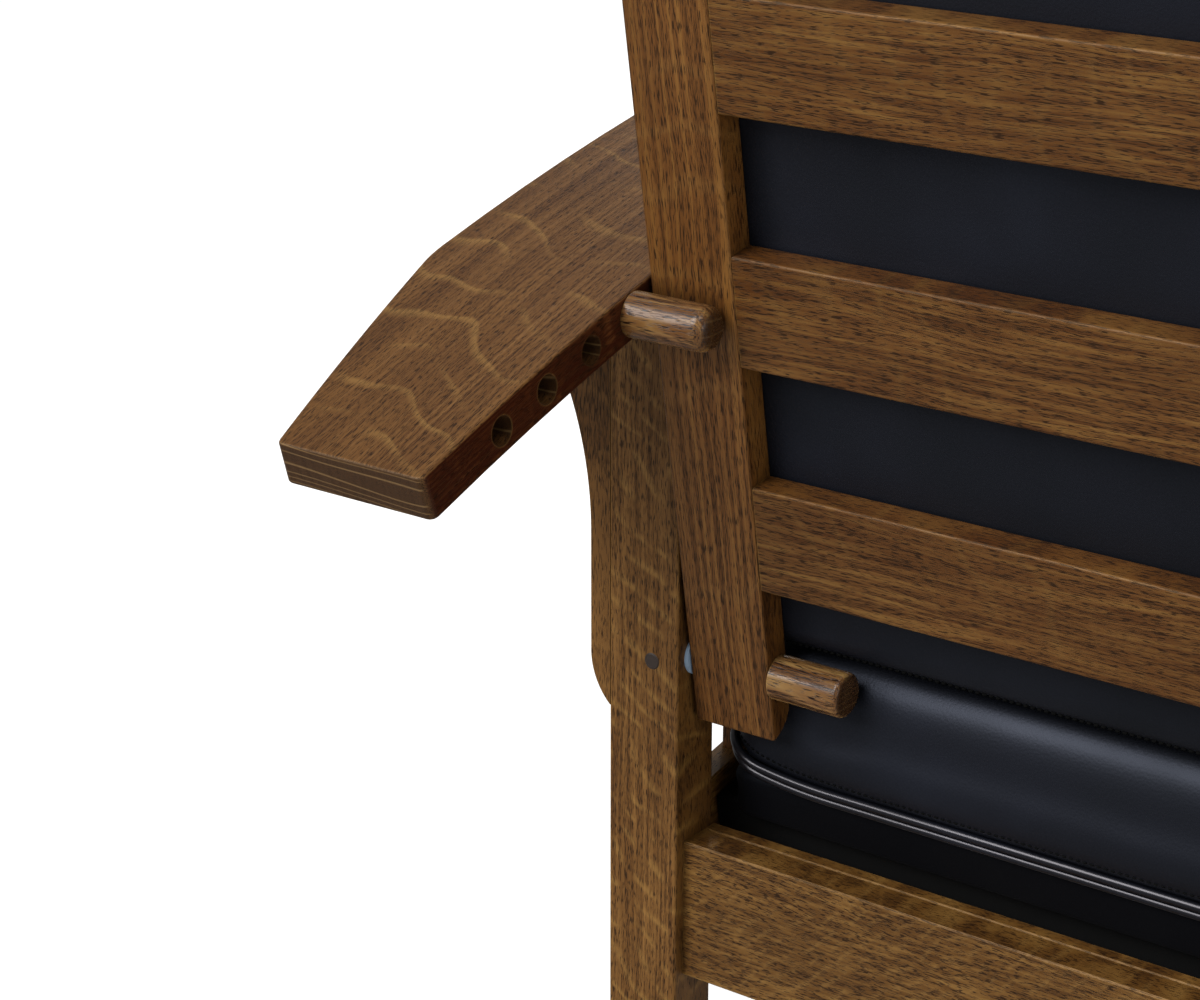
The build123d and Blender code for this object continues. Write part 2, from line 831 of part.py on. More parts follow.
def cushion_section(plane, span, heights, crown, bulge, lean, rise):
    """A cushion's section: a flat resting edge, a crowned top, and two sides that bulge between seams."""
    low, high = span
    base, top = heights
    middle = (base + top) / 2
    with BuildSketch(plane) as section:
        with BuildLine():
            Line((low, base), (high, base))
            ThreePointArc((high, base), (high - lean / 2 + bulge, middle), (high - lean, top))
            ThreePointArc(
                (high - lean, top),
                ((low + rise + high - lean) / 2, top + crown),
                (low + rise, top),
            )
            ThreePointArc((low + rise, top), (low + rise / 2 - bulge, middle), (low, base))
        make_face()
    return section.sketch


def stations(half_width):
    """Places across a cushion from end to end, each with its shares of height, crown and draw."""
    halves = list(zip(station_shares, height_shares, crown_shares, draw_shares))
    left = [(-half_width * place, *shares) for place, *shares in reversed(halves[1:])]
    return left + [(half_width * place, *shares) for place, *shares in halves]


def cushion(base_plane, half_width, span, base, size, crown, draw, bulge, lean, rise):
    """A cushion lofted across the chair through its sections."""
    sections = [
        cushion_section(
            base_plane.offset(x),
            (span[0] + draw_share * draw, span[1] - draw_share * draw),
            (base + (1 - height_share) * size / 2, base + (1 + height_share) * size / 2),
            crown_share * crown,
            bulge * height_share,
            lean,
            rise,
        )
        for x, height_share, crown_share, draw_share in stations(half_width)
    ]
    return loft(sections, ruled=True)


# The loose seat cushion, drawn in at both ends
seat_cushion_base = platform_height + rest_gap
with BuildPart() as seat_cushion:
    cushion(
        seat_side,
        inner_half - seat_cushion_side_gap,
        (platform_span[0] + seat_cushion_inset, platform_span[1] - seat_cushion_inset),
        seat_cushion_base,
        seat_cushion_height,
        seat_cushion_crown,
        seat_cushion_draw,
        seat_cushion_bulge,
        seat_cushion_lean,
        0.0,
    )
    split(bisect_by=seat_top.offset(seat_cushion_base))
save(seat_cushion, "seat_cushion")

# The back cushion, its foot rising to the front to clear the seat
back_cushion_base = slat_front + rest_gap
back_upright = Plane(origin=pivot, x_dir=(0, sin(back_angle), cos(back_angle)), z_dir=(1, 0, 0))
with BuildPart() as back_cushion:
    cushion(
        back_upright,
        inner_half - back_cushion_side_gap,
        (back_cushion_foot, stile_top - back_cushion_below_top),
        back_cushion_base,
        back_cushion_thickness,
        back_cushion_crown,
        back_cushion_draw,
        back_cushion_bulge,
        back_cushion_lean,
        back_cushion_rise,
    )
    split(bisect_by=Plane(origin=pivot, x_dir=(1, 0, 0), z_dir=back_side.x_dir).offset(back_cushion_base))
save(back_cushion, "back_cushion")
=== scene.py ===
# %% [markdown]
# # A reclining armchair in the mission style
#
# The chair is a dark stained oak frame with bow arms, a slatted back that leans on two pegs, and black
# leather cushions. The packed model gives every piece of wood in its real size and place. This lesson
# dresses it: it gives the wood, the paint and the plastic their finishes, and it models the leather
# cushions with their seams, welts and stitches.

# %% Load the frame
import bpy
import bmesh
import math
from functools import partial
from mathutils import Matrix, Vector
from mathutils.bvhtree import BVHTree


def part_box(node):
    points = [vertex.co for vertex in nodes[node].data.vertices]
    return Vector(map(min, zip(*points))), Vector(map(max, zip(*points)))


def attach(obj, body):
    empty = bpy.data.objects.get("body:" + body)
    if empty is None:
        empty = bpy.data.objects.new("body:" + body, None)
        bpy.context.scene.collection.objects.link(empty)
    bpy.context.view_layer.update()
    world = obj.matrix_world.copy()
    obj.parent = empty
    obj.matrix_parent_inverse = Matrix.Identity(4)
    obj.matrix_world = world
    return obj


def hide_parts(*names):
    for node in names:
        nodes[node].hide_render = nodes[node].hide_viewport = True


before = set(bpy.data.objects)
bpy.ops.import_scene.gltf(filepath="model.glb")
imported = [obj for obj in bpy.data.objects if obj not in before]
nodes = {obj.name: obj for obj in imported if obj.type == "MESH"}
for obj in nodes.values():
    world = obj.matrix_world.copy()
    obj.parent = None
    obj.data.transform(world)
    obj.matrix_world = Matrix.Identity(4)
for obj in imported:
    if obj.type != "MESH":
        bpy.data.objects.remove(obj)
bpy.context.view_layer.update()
MM = 0.001
print("pieces of the frame:", len(nodes))

# %% [markdown]
# The photograph was taken from behind the chair, over its left arm, and the camera looks 20 degrees down.
# A camera is described here by its place, by the way it looks and by its lens. The place and the angles
# come from the photograph's straight lines, solved for real sizes. No lens shift is needed, because the
# photograph's own middle is the middle of the view.

# %% Camera
CAMERA_PLACE = Vector((-652.9, 1555.5, 995.4)) * MM
CAMERA_DOWN = 19.93  # degrees below the horizon
CAMERA_TURN = 216.61  # degrees about the vertical, counted from a look along +Y
CAMERA_LENS = 88.38  # millimetres, for a sensor as wide as the next value
SENSOR_WIDTH = 36.0

camera_data = bpy.data.cameras.new("studio_camera")
camera_data.sensor_width = SENSOR_WIDTH
camera_data.lens = CAMERA_LENS
camera = bpy.data.objects.new("studio_camera", camera_data)
camera.location = CAMERA_PLACE
camera.rotation_euler = (math.radians(90 - CAMERA_DOWN), 0, math.radians(CAMERA_TURN))
bpy.context.scene.collection.objects.link(camera)
bpy.context.scene.camera = camera
print("camera height in metres:", round(camera.location.z, 3))

# %% [markdown]
# The photograph has soft, even light from above and behind the chair, and the stained wood shows almost no
# grey haze. Haze comes from a bright studio mirrored in the finish at a flat angle. So the main light is
# one very large soft light, as even as a bright ceiling. It is a sun lamp here with a wide angle, so that
# the floor is equally bright near and far. The surroundings are dim, and the pale floor isn't mirrored in
# the finishes, as if dark cloths hung beside the chair. Four soft boxes draw the highlights on round
# pieces and fill the sides that look away.

# %% Lights
CHAIR_MIDDLE = (0, 0, 0.5)
CEILING_PLACE = (1.1, 2.5, 2.9)
CEILING_ANGLE = 38.0
CEILING_STRENGTH = 4.2
SOFT_BOXES = (
    # Name, place and width in metres, power in watts
    ("left_softbox", (2.2, 2.6, 1.5), 0.9, 24),
    ("high_softbox", (-0.6, 1.2, 2.6), 0.8, 12),
    ("right_softbox", (-2.6, 1.2, 1.1), 1.2, 16),
    ("front_softbox", (1.4, -2.8, 1.9), 1.4, 34),
)


def aimed(name, data, place):
    """Puts a light at a place and turns it to the chair's middle."""
    light = bpy.data.objects.new(name, data)
    light.location = place
    light.rotation_mode = "QUATERNION"
    light.rotation_quaternion = (Vector(CHAIR_MIDDLE) - Vector(place)).to_track_quat("-Z", "Y")
    bpy.context.scene.collection.objects.link(light)


ceiling = bpy.data.lights.new("ceiling_light", "SUN")
ceiling.energy = CEILING_STRENGTH
ceiling.angle = math.radians(CEILING_ANGLE)
aimed("ceiling_light", ceiling, CEILING_PLACE)
for box_name, box_place, box_width, watts in SOFT_BOXES:
    soft_box = bpy.data.lights.new(box_name, "AREA")
    soft_box.shape = "SQUARE"
    soft_box.size = box_width
    soft_box.energy = watts
    aimed(box_name, soft_box, box_place)
print("lights:", len(bpy.data.lights))

# %% [markdown] The surroundings give an even, dim light from all sides. The floor is one large square. It
# reaches so far that its edge isn't seen in any view.

# %% Surroundings and floor
WORLD_STRENGTH = 0.24

world = bpy.data.worlds.new("dim_studio")
world.use_nodes = True
world.node_tree.nodes["Background"].inputs["Color"].default_value = (1.0, 1.0, 1.0, 1.0)
world.node_tree.nodes["Background"].inputs["Strength"].default_value = WORLD_STRENGTH
bpy.context.scene.world = world
bpy.context.scene.view_settings.view_transform = "Standard"

FLOOR_REACH = 60.0  # metres from the middle to each side
floor_mesh = bpy.data.meshes.new("studio_floor")
floor_mesh.from_pydata(
    [(-FLOOR_REACH, -FLOOR_REACH, 0), (FLOOR_REACH, -FLOOR_REACH, 0),
     (FLOOR_REACH, FLOOR_REACH, 0), (-FLOOR_REACH, FLOOR_REACH, 0)],
    [],
    [(0, 1, 2, 3)],
)
floor = bpy.data.objects.new("studio_floor", floor_mesh)
floor.visible_glossy = False
bpy.context.scene.collection.objects.link(floor)
print("floor width in metres:", 2 * FLOOR_REACH)

# %% [markdown]
# Colours are given as sRGB hex values, the way a paint program shows them. A shader works with
# linear light, so one function turns a hex value into linear numbers. One more function adds a shader node:
# its settings by name, its inputs as numbers or as links, and the stops of a colour ramp if it has one. It
# gives back one of the node's outputs, the first one if nothing else is asked for, to be linked further on.

# %% Colour and node helpers
def linear(hex_colour):
    """An sRGB hex colour as linear red, green, blue and full alpha."""
    parts = [int(hex_colour[i:i + 2], 16) / 255 for i in (1, 3, 5)]
    return (*[p / 12.92 if p <= 0.04045 else ((p + 0.055) / 1.055) ** 2.4 for p in parts], 1.0)


def add_node(tree, kind, inputs=None, output=0, stops=None, **settings):
    """Adds a shader node with its settings, inputs and colour stops, and gives one of its outputs."""
    node = tree.nodes.new("ShaderNode" + kind)
    for name, value in settings.items():
        setattr(node, name, value)
    for key, value in (inputs or {}).items():
        if isinstance(value, bpy.types.NodeSocket):
            tree.links.new(value, node.inputs[key])
        else:
            node.inputs[key].default_value = value
    if stops:
        ramp = node.color_ramp
        while len(ramp.elements) < len(stops):
            ramp.elements.new(1.0)
        for element, (place, colour) in zip(ramp.elements, stops):
            element.position = place
            element.color = colour
    return node.outputs[output]


def new_material(name):
    """A material with its node tree and its main shader."""
    material = bpy.data.materials.new(name)
    material.use_nodes = True
    tree = material.node_tree
    return material, tree, tree.nodes["Principled BSDF"]


print("middle grey in linear light:", round(linear("#808080")[0], 3))

# %% [markdown]
# The floor is a pale seamless studio floor: matte paper, a little rough, with no pattern of its own.

# %% Floor material
PAPER_TONE = "#f2f2f2"
PAPER_ROUGHNESS = 0.9

paper, _, paper_shader = new_material("matte_studio_paper")
paper_shader.inputs["Base Color"].default_value = linear(PAPER_TONE)
paper_shader.inputs["Roughness"].default_value = PAPER_ROUGHNESS
floor_mesh.materials.append(paper)
print("floor material:", paper.name)

# %% [markdown]
# ## Stained oak
#
# The frame is quartersawn white oak, stained brown and finished with a satin lacquer. Wood is a solid, so
# its pattern is worked out in three directions and not painted on faces: along the grain, across it
# through the growth rings, and across it through the rays. All three are measured in millimetres. In a
# bent board the layers follow a circle, so there the way through the rays is measured outwards from it.
#
# Noise gives each place a value, mostly between 0.25 and 0.75. A smooth step from one level to another
# turns it into a mask of 0 to 1, and a mask then mixes two colours.

# %% Directions in the wood
SMOOTH = {"interpolation_type": "SMOOTHSTEP"}
COLOURS = {"data_type": "RGBA", "output": 2}


class Wood:
    """The three directions of a board's wood, and noise that is stretched along them."""

    def __init__(self, tree, grain, face, bow):
        self.add = partial(add_node, tree)
        self.grain = Vector(grain).normalized()
        face = Vector(face).normalized()
        self.across = self.grain.cross(face)
        place = self.add("TexCoord", output="Object")
        self.along, self.ring_way, self.ray_way = [
            self.add("VectorMath", {0: place, 1: direction / MM}, output="Value", operation="DOT_PRODUCT")
            for direction in (self.grain, self.across, face)
        ]
        if bow:
            self.ray_way = self.out_of_bow(place, *bow)

    def out_of_bow(self, place, axis_y, axis_z, radius):
        """How far a place lies outside a circle about an axis that runs across the chair."""
        spoke = self.add("VectorMath", {0: place, 1: (0, axis_y, axis_z)}, operation="SUBTRACT")
        upright = self.add("VectorMath", {0: spoke, 1: (0, 1, 1)}, operation="MULTIPLY")
        reach = self.add("VectorMath", {0: upright}, output="Value", operation="LENGTH")
        beyond = self.add("Math", {0: reach, 1: radius}, operation="SUBTRACT")
        return self.add("Math", {0: beyond, 1: 1 / MM}, operation="MULTIPLY")

    def cloud(self, size_along, size_across, size_face, wander=None, detail=1.0, roughness=0.5):
        """Soft noise that is stretched to a size in millimetres in each direction of the wood."""
        shifted = self.ring_way
        if wander is not None:
            shifted = self.add("Math", {0: wander, 1: shifted}, operation="ADD")
        ways = [
            self.add("Math", {0: way, 1: 1 / size}, operation="MULTIPLY")
            for way, size in ((self.along, size_along), (shifted, size_across), (self.ray_way, size_face))
        ]
        stretched = self.add("CombineXYZ", dict(enumerate(ways)))
        return self.add(
            "TexNoise", {"Vector": stretched, "Scale": 1.0, "Detail": detail, "Roughness": roughness},
            output="Fac",
        )


print("patterns for wood:", [name for name in vars(Wood) if not name.startswith("_")])

# %% [markdown]
# Growth rings are straight bands, a few millimetres apart, that wander a little. The wood of each spring
# has rows of large pores, so the pores are dense in one half of a ring and sparse in the other. They show
# as dark dashes. They are drawn about half a millimetre apart, which is a little coarser than the real
# ones, so that they show in the picture.

# %% Growth rings and pores
RING_SPACING_MM = 2.4
WANDER_MM = 6.0
PORE_SPACING_MM = 0.54


def ring_pattern(wood, streak_mm):
    """How the rings wander, and the rings themselves."""
    wander = wood.add("Math", {0: wood.cloud(170, 45, 45), 1: WANDER_MM * 2}, operation="MULTIPLY")
    return wander, wood.cloud(streak_mm, RING_SPACING_MM, 60, wander, detail=2.0)


def pore_pattern(wood, wander, rings, pore_mm):
    """The noise of the pores, and their mask: dense where a ring is dark, sparse where it is light."""
    dense = wood.add("MapRange", {"Value": rings, "From Min": 0.56, "From Max": 0.40}, **SMOOTH)
    grains = wood.cloud(pore_mm, PORE_SPACING_MM, PORE_SPACING_MM, wander, roughness=0.35)
    lowered = wood.add("Math", {0: dense, 1: 0.07}, operation="MULTIPLY")
    level = wood.add("Math", {0: grains, 1: lowered}, operation="SUBTRACT")
    return grains, wood.add("MapRange", {"Value": level, "From Min": 0.43, "From Max": 0.36}, **SMOOTH)


print("growth rings are", RING_SPACING_MM, "mm apart, pores", PORE_SPACING_MM, "mm")

# %% [markdown]
# Rays are thin sheets across the rings. Where the saw meets one at a flat angle it shows as a golden
# fleck, a soft curved band that crosses the grain at a slant. A fleck is drawn as a band that comes back
# at an even distance, bent by noise and broken by gaps.

# %% Ray flecks
FIGURE_BEND = 2.0


def fleck_pattern(wood, figure_mm, strength, span, gap_sizes, slant):
    """The mask of the flecks, for bands that are figure_mm apart."""
    bend_noise = wood.cloud(figure_mm * 2.4, 62, 60, roughness=0.4)
    warp = wood.add("Math", {0: bend_noise, 1: FIGURE_BEND}, operation="MULTIPLY")
    tilted = wood.add("Math", {0: wood.ring_way, 1: slant}, operation="MULTIPLY")
    slanted = wood.add("Math", {0: tilted, 1: wood.along}, operation="ADD")
    counted = wood.add("Math", {0: slanted, 1: 1 / figure_mm}, operation="MULTIPLY")
    phase = wood.add("Math", {0: counted, 1: warp}, operation="ADD")
    place_in_band = wood.add("Math", {0: phase}, operation="FRACT")
    first, last = span
    rise = wood.add("MapRange", {"Value": place_in_band, "From Min": 0.0, "From Max": first}, **SMOOTH)
    fall = wood.add("MapRange", {"Value": place_in_band, "From Min": last, "From Max": first}, **SMOOTH)
    gap_noise = wood.cloud(*gap_sizes, 40)
    gaps = wood.add("MapRange", {"Value": gap_noise, "From Min": 0.38, "From Max": 0.62}, **SMOOTH)
    mask = rise
    for factor in (fall, gaps, strength):
        mask = wood.add("Math", {0: mask, 1: factor}, operation="MULTIPLY")
    return mask


print("noise bends a fleck by up to", FIGURE_BEND, "bands")

# %% [markdown]
# End grain drinks more stain, so every sawn end is darker, and the rays show on it as thin light lines.
# The narrow edges of the arms are darker and warmer than their faces, in long streaks. The surface's own
# direction tells which of them a place belongs to.

# %% Sawn ends and narrow edges
END_RAY_SPACING_MM = 4.2
END_TONE = "#24170c"
END_RAY_TONE = "#80653f"
EDGE_WARMTH_TONE = "#bf6a44"


def facing(wood, direction, low, high):
    """The mask of the surfaces that look along a direction, either way."""
    normal = wood.add("TexCoord", output="Normal")
    looks = wood.add("VectorMath", {0: normal, 1: direction}, output="Value", operation="DOT_PRODUCT")
    either_way = wood.add("Math", {0: looks}, operation="ABSOLUTE")
    return wood.add("MapRange", {"Value": either_way, "From Min": low, "From Max": high}, **SMOOTH)


def end_colour(wood, dark, grains, end_rays):
    """The colour of a sawn end, with its rays."""
    bend_noise = wood.cloud(200, 110, 24, detail=0.0)
    bend = wood.add("Math", {0: bend_noise, 1: END_RAY_SPACING_MM * 5}, operation="MULTIPLY")
    bent_way = wood.add("Math", {0: wood.ray_way, 1: bend}, operation="ADD")
    phase = wood.add("Math", {0: bent_way, 1: 1 / END_RAY_SPACING_MM}, operation="MULTIPLY")
    to_ray = wood.add("Math", {0: phase, 1: 0.5}, operation="PINGPONG")
    lines = wood.add("MapRange", {"Value": to_ray, "From Min": 0.12, "From Max": 0.03}, **SMOOTH)
    dry = wood.add("MapRange", {"Value": grains, "From Min": 0.3, "From Max": 0.7, "To Max": 0.5}, **SMOOTH)
    ground = wood.add("Mix", {0: dry, 6: linear(END_TONE), 7: dark}, **COLOURS)
    shown = wood.add("Math", {0: lines, 1: end_rays}, operation="MULTIPLY")
    return wood.add("Mix", {0: shown, 6: ground, 7: linear(END_RAY_TONE)}, **COLOURS)


def edge_colour(wood, face_colour, edge_tone):
    """The colour of a narrow edge, in streaks over that of the face."""
    streak_noise = wood.cloud(120, 12, 1.6, detail=2.0)
    streaks = wood.add("MapRange", {"Value": streak_noise, "From Min": 0.36, "From Max": 0.62}, **SMOOTH)
    streaked = wood.add("Mix", {0: streaks, 6: linear(edge_tone), 7: face_colour}, **COLOURS)
    warm = linear(EDGE_WARMTH_TONE)
    return wood.add("Mix", {0: 0.7, 6: streaked, 7: warm}, blend_type="MULTIPLY", **COLOURS)


print("rays on a sawn end are", END_RAY_SPACING_MM, "mm apart")

# %% [markdown]
# An occlusion node finds the corners where boards meet, and painted shade darkens them. A bevel node finds
# the arrises, because it rounds the surface's direction there. The finish is worn a little lighter on them.

# %% Corners and arrises
# How far from a corner the painted shade reaches
CORNER_SHADE_MM = 14.0
WORN_EDGE_MM = 1.4
NODE_SAMPLES = 4


def painted_corner_shade_mask(wood):
    """The mask of the painted shade in the corners where boards meet."""
    reach = CORNER_SHADE_MM * MM
    open_share = wood.add("AmbientOcclusion", {"Distance": reach}, output="AO", samples=NODE_SAMPLES)
    return wood.add(
        "MapRange", {"Value": open_share, "From Min": 0.75, "From Max": 0.25, "To Max": 0.5}, **SMOOTH
    )


def worn_mask(wood, mottle):
    """The mask of the worn arrises, stronger in some places than in others."""
    rounded = wood.add("Bevel", {"Radius": WORN_EDGE_MM * MM}, samples=NODE_SAMPLES)
    true = wood.add("NewGeometry", output="Normal")
    turn = wood.add("VectorMath", {0: rounded, 1: true}, output="Value", operation="DOT_PRODUCT")
    edges = wood.add("MapRange", {"Value": turn, "From Min": 0.995, "From Max": 0.93}, **SMOOTH)
    patches = wood.add(
        "MapRange", {"Value": mottle, "From Min": 0.35, "From Max": 0.6, "To Min": 0.2}, **SMOOTH
    )
    return wood.add("Math", {0: edges, 1: patches}, operation="MULTIPLY")


print("worn arrises reach", WORN_EDGE_MM, "mm from an edge")

# %% [markdown]
# The whole finish puts these together, from the wood up to the lacquer. The lacquer is thin, so the pores
# stay open: they are a little rougher and lie deeper than the wood beside them. Lacquer over brown stain
# reflects warmly, so the shine has a slight amber tone. Its IOR is that of most lacquers, 1.5.

# %% Stained oak
SATIN_SHINE = 0.28
LACQUER_TONE = "#ffdfb8"
LACQUER_IOR = 1.5
# The dark of the pores, also used for the painted shade in the corners
PORE_AND_CORNER_SHADE_TONE = "#190b04"
RELIEF_MM = 0.25


def stained_oak(
    name, grain, face, tones, figure_mm=22.0, fleck=0.5, pore_mm=7.0, pores=1.0, edge_tone=None, gloss=0.42,
    end_rays=0.42, streak_mm=420.0, fleck_span=(0.12, 0.34), fleck_gaps=(60.0, 70.0), slant=0.35, bow=None,
    lacquer=LACQUER_TONE,
):
    """Oak whose grain runs along one direction and whose wide face looks along another."""
    material, tree, shader = new_material(name)
    wood = Wood(tree, grain, face, bow)
    dark, middle, light, golden = [linear(tone) for tone in tones]

    # Growth rings, and a slow change of tone over the board
    wander, rings = ring_pattern(wood, streak_mm)
    mottle = wood.cloud(140, 30, 45, detail=2.0)
    colour = wood.add("ValToRGB", {0: rings}, stops=[(0.3, dark), (0.5, middle), (0.7, light)])
    shade_levels = {"Value": mottle, "From Min": 0.3, "From Max": 0.7, "To Min": 0.5, "To Max": 0.0}
    shade = wood.add("MapRange", shade_levels, **SMOOTH)
    colour = wood.add("Mix", {0: shade, 6: colour, 7: dark}, **COLOURS)

    # Flecks, and the pores, which are fainter in a fleck
    grains, pore_mask = pore_pattern(wood, wander, rings, pore_mm)
    fleck_mask = fleck_pattern(wood, figure_mm, fleck, fleck_span, fleck_gaps, slant)
    colour = wood.add("Mix", {0: fleck_mask, 6: colour, 7: golden}, **COLOURS)
    covered = wood.add("Math", {0: fleck_mask, 1: 0.7}, operation="MULTIPLY")
    uncovered = wood.add("Math", {0: 1.0, 1: covered}, operation="SUBTRACT")
    shown_pores = wood.add("Math", {0: pore_mask, 1: uncovered}, operation="MULTIPLY")
    pore_strength = wood.add("Math", {0: shown_pores, 1: 0.88 * pores}, operation="MULTIPLY")
    colour = wood.add("Mix", {0: pore_strength, 6: colour, 7: linear(PORE_AND_CORNER_SHADE_TONE)}, **COLOURS)

    # Sawn ends, narrow edges, painted shade in the corners, and worn arrises
    end_mask = wood.add("Math", {0: facing(wood, wood.grain, 0.62, 0.9), 1: 0.9}, operation="MULTIPLY")
    end_tone = end_colour(wood, dark, grains, end_rays)
    colour = wood.add("Mix", {0: end_mask, 6: colour, 7: end_tone}, **COLOURS)
    if edge_tone:
        edge_mask = facing(wood, wood.across, 0.75, 0.95)
        streaked = edge_colour(wood, colour, edge_tone)
        colour = wood.add("Mix", {0: edge_mask, 6: colour, 7: streaked}, **COLOURS)
    # Painted shade in the corners where boards meet
    colour = wood.add("Mix", {0: painted_corner_shade_mask(wood), 6: colour, 7: linear(PORE_AND_CORNER_SHADE_TONE)}, **COLOURS)
    worn = wood.add("Math", {0: worn_mask(wood, mottle), 1: 0.45}, operation="MULTIPLY")
    colour = wood.add("Mix", {0: worn, 6: colour, 7: golden}, **COLOURS)

    # Lacquer
    dullest = gloss + 0.05
    gloss_levels = {"Value": rings, "From Min": 0.3, "From Max": 0.7, "To Min": dullest, "To Max": gloss}
    ring_gloss = wood.add("MapRange", gloss_levels, **SMOOTH)
    pore_gloss = wood.add("Math", {0: shown_pores, 1: 0.06}, operation="MULTIPLY")
    rough = wood.add("Math", {0: pore_gloss, 1: ring_gloss}, operation="ADD")
    pore_depth = wood.add("Math", {0: shown_pores, 1: -1.0}, operation="MULTIPLY")
    ring_height = wood.add("Math", {0: rings, 1: 0.25}, operation="MULTIPLY")
    relief = wood.add("Math", {0: pore_depth, 1: ring_height}, operation="ADD")
    bump = wood.add("Bump", {"Strength": 0.4, "Distance": RELIEF_MM * MM, "Height": relief})
    tree.links.new(colour, shader.inputs["Base Color"])
    tree.links.new(rough, shader.inputs["Roughness"])
    tree.links.new(bump, shader.inputs["Normal"])
    shader.inputs["IOR"].default_value = LACQUER_IOR
    shader.inputs["Specular IOR Level"].default_value = SATIN_SHINE
    shader.inputs["Specular Tint"].default_value = linear(lacquer)
    return material


print("lacquer tone in linear light:", [round(part, 3) for part in linear(LACQUER_TONE)[:3]])

# %% [markdown]
# Each board gets the oak that fits the way it was sawn. The grain runs along the board, and the face
# direction is the way its wide face looks. The directions of the leaning back and of the sloping seat are
# measured on the frame, on the longest straight edge of one of their boards.

# %% Directions
def longest_edge(node_name):
    """The direction of a node's longest straight edge, pointing up or to the rear."""
    mesh = nodes[node_name].data
    ways = [mesh.vertices[edge.vertices[1]].co - mesh.vertices[edge.vertices[0]].co for edge in mesh.edges]
    way = max(ways, key=lambda edge_way: edge_way.length).normalized()
    way.x = 0
    return way.normalized() * (1 if way.z > abs(way.y) or way.y > 0 else -1)


ACROSS = Vector((1, 0, 0))
back_up = longest_edge("back_stile_left")
if back_up.z < 0:
    back_up = -back_up
back_forward = Vector((0, -back_up.z, back_up.y))
seat_rearward = longest_edge("seat_frame_side_left")
if seat_rearward.y < 0:
    seat_rearward = -seat_rearward
seat_up = Vector((0, -seat_rearward.z, seat_rearward.y))
print("back leans", round(math.degrees(math.atan2(back_up.y, back_up.z)), 2), "degrees")
print("seat slopes", round(math.degrees(math.asin(-seat_rearward.z)), 2), "degrees")

# %% [markdown]
# No two boards of a chair look the same. The legs show small flecks that come close together, the arms show
# wide ones, and the rails have short dashes. Each kind of board has four tones: the dark and the light part
# of a ring, a middle between them, and the golden fleck. The arms are bent boards, so the layers of their
# wood follow the bow: a circle of 2.37 m about an axis far below the chair. The pegs and pins were turned
# on a lathe and polished, so they are smoother and shine more.

# %% Oak for each kind of board
FRAME_TONES = ("#43260c", "#593716", "#6a481f", "#7e5f32")
LEG_TONES = ("#452a0f", "#5a3c1a", "#694923", "#7f5f2f")
ARM_TONES = ("#432915", "#5a3c1e", "#664829", "#7f6035")
SLAT_TONES = ("#3b1f08", "#4f3113", "#5f421d", "#6f5529")
RAIL_TONES = ("#3c240b", "#543817", "#674a23", "#74572d")
PEG_TONES = ("#3f240f", "#624325", "#86683d", "#93733d")

# Y and Z of the axis of the arms' circle, and the circle's radius, in metres
ARM_BOW = (-0.355, -1.738, 2.370)
WHITE_SHINE = "#ffffff"
RAIL_FIGURE = {
    "figure_mm": 14, "fleck": 0.25, "pore_mm": 4.5, "streak_mm": 24,
    "fleck_span": (0.25, 0.55), "fleck_gaps": (9, 9), "slant": 1.2,
}

oak = {
    "upright": stained_oak(
        "stained_oak_upright", (0, 0, 1), (0, 1, 0), LEG_TONES, 19, fleck=0.38, pore_mm=6, streak_mm=90,
        fleck_span=(0.2, 0.5), fleck_gaps=(24, 13), slant=0.75,
    ),
    "corbel": stained_oak("stained_oak_corbel", (0, 0, 1), (1, 0, 0), LEG_TONES, 30, fleck=0.12),
    "stile": stained_oak("stained_oak_stile", back_up, back_forward, FRAME_TONES, 40, fleck=0.1, pore_mm=8),
    "slat": stained_oak(
        "stained_oak_slat", ACROSS, back_forward, SLAT_TONES, 30, fleck=0.1, pore_mm=7, streak_mm=55,
    ),
    "cross_rail": stained_oak("stained_oak_cross_rail", ACROSS, (0, 1, 0), RAIL_TONES, **RAIL_FIGURE),
    "side_rail": stained_oak("stained_oak_side_rail", seat_rearward, (1, 0, 0), RAIL_TONES, **RAIL_FIGURE),
    "side_slat": stained_oak(
        "stained_oak_side_slat", (0, 0, 1), (1, 0, 0), FRAME_TONES, 19, fleck=0.3, fleck_gaps=(24, 13),
        slant=0.75,
    ),
    "arm": stained_oak(
        "stained_oak_arm", (0, 1, 0), (0, 0, 1), ARM_TONES, 33, fleck=0.48, pore_mm=5, edge_tone="#3a1809",
        fleck_span=(0.08, 0.27), bow=ARM_BOW,
    ),
    "turned": stained_oak(
        "turned_oak_peg", ACROSS, (0, 0, 1), PEG_TONES, 30, fleck=0.1, pore_mm=8, pores=1.15, gloss=0.22,
        end_rays=0.12, streak_mm=60, lacquer=WHITE_SHINE,
    ),
}
print("kinds of oak:", len(oak))

# %% [markdown]
# The rest of the frame is plainer. The seat frame is painted matte black, so dark that it also serves as
# painted shade for the gap under the seat. The cleats and the board under the seat are sawn and unfinished,
# the washer at the pivot is a pale nylon, and the plug that hides the screw is a dark slice of end grain.
# All of them are one colour with a fine cloudy change of tone and a fine relief, each at the size of its
# own grain.

# %% Small materials
RELIEF_STRENGTH = 0.4


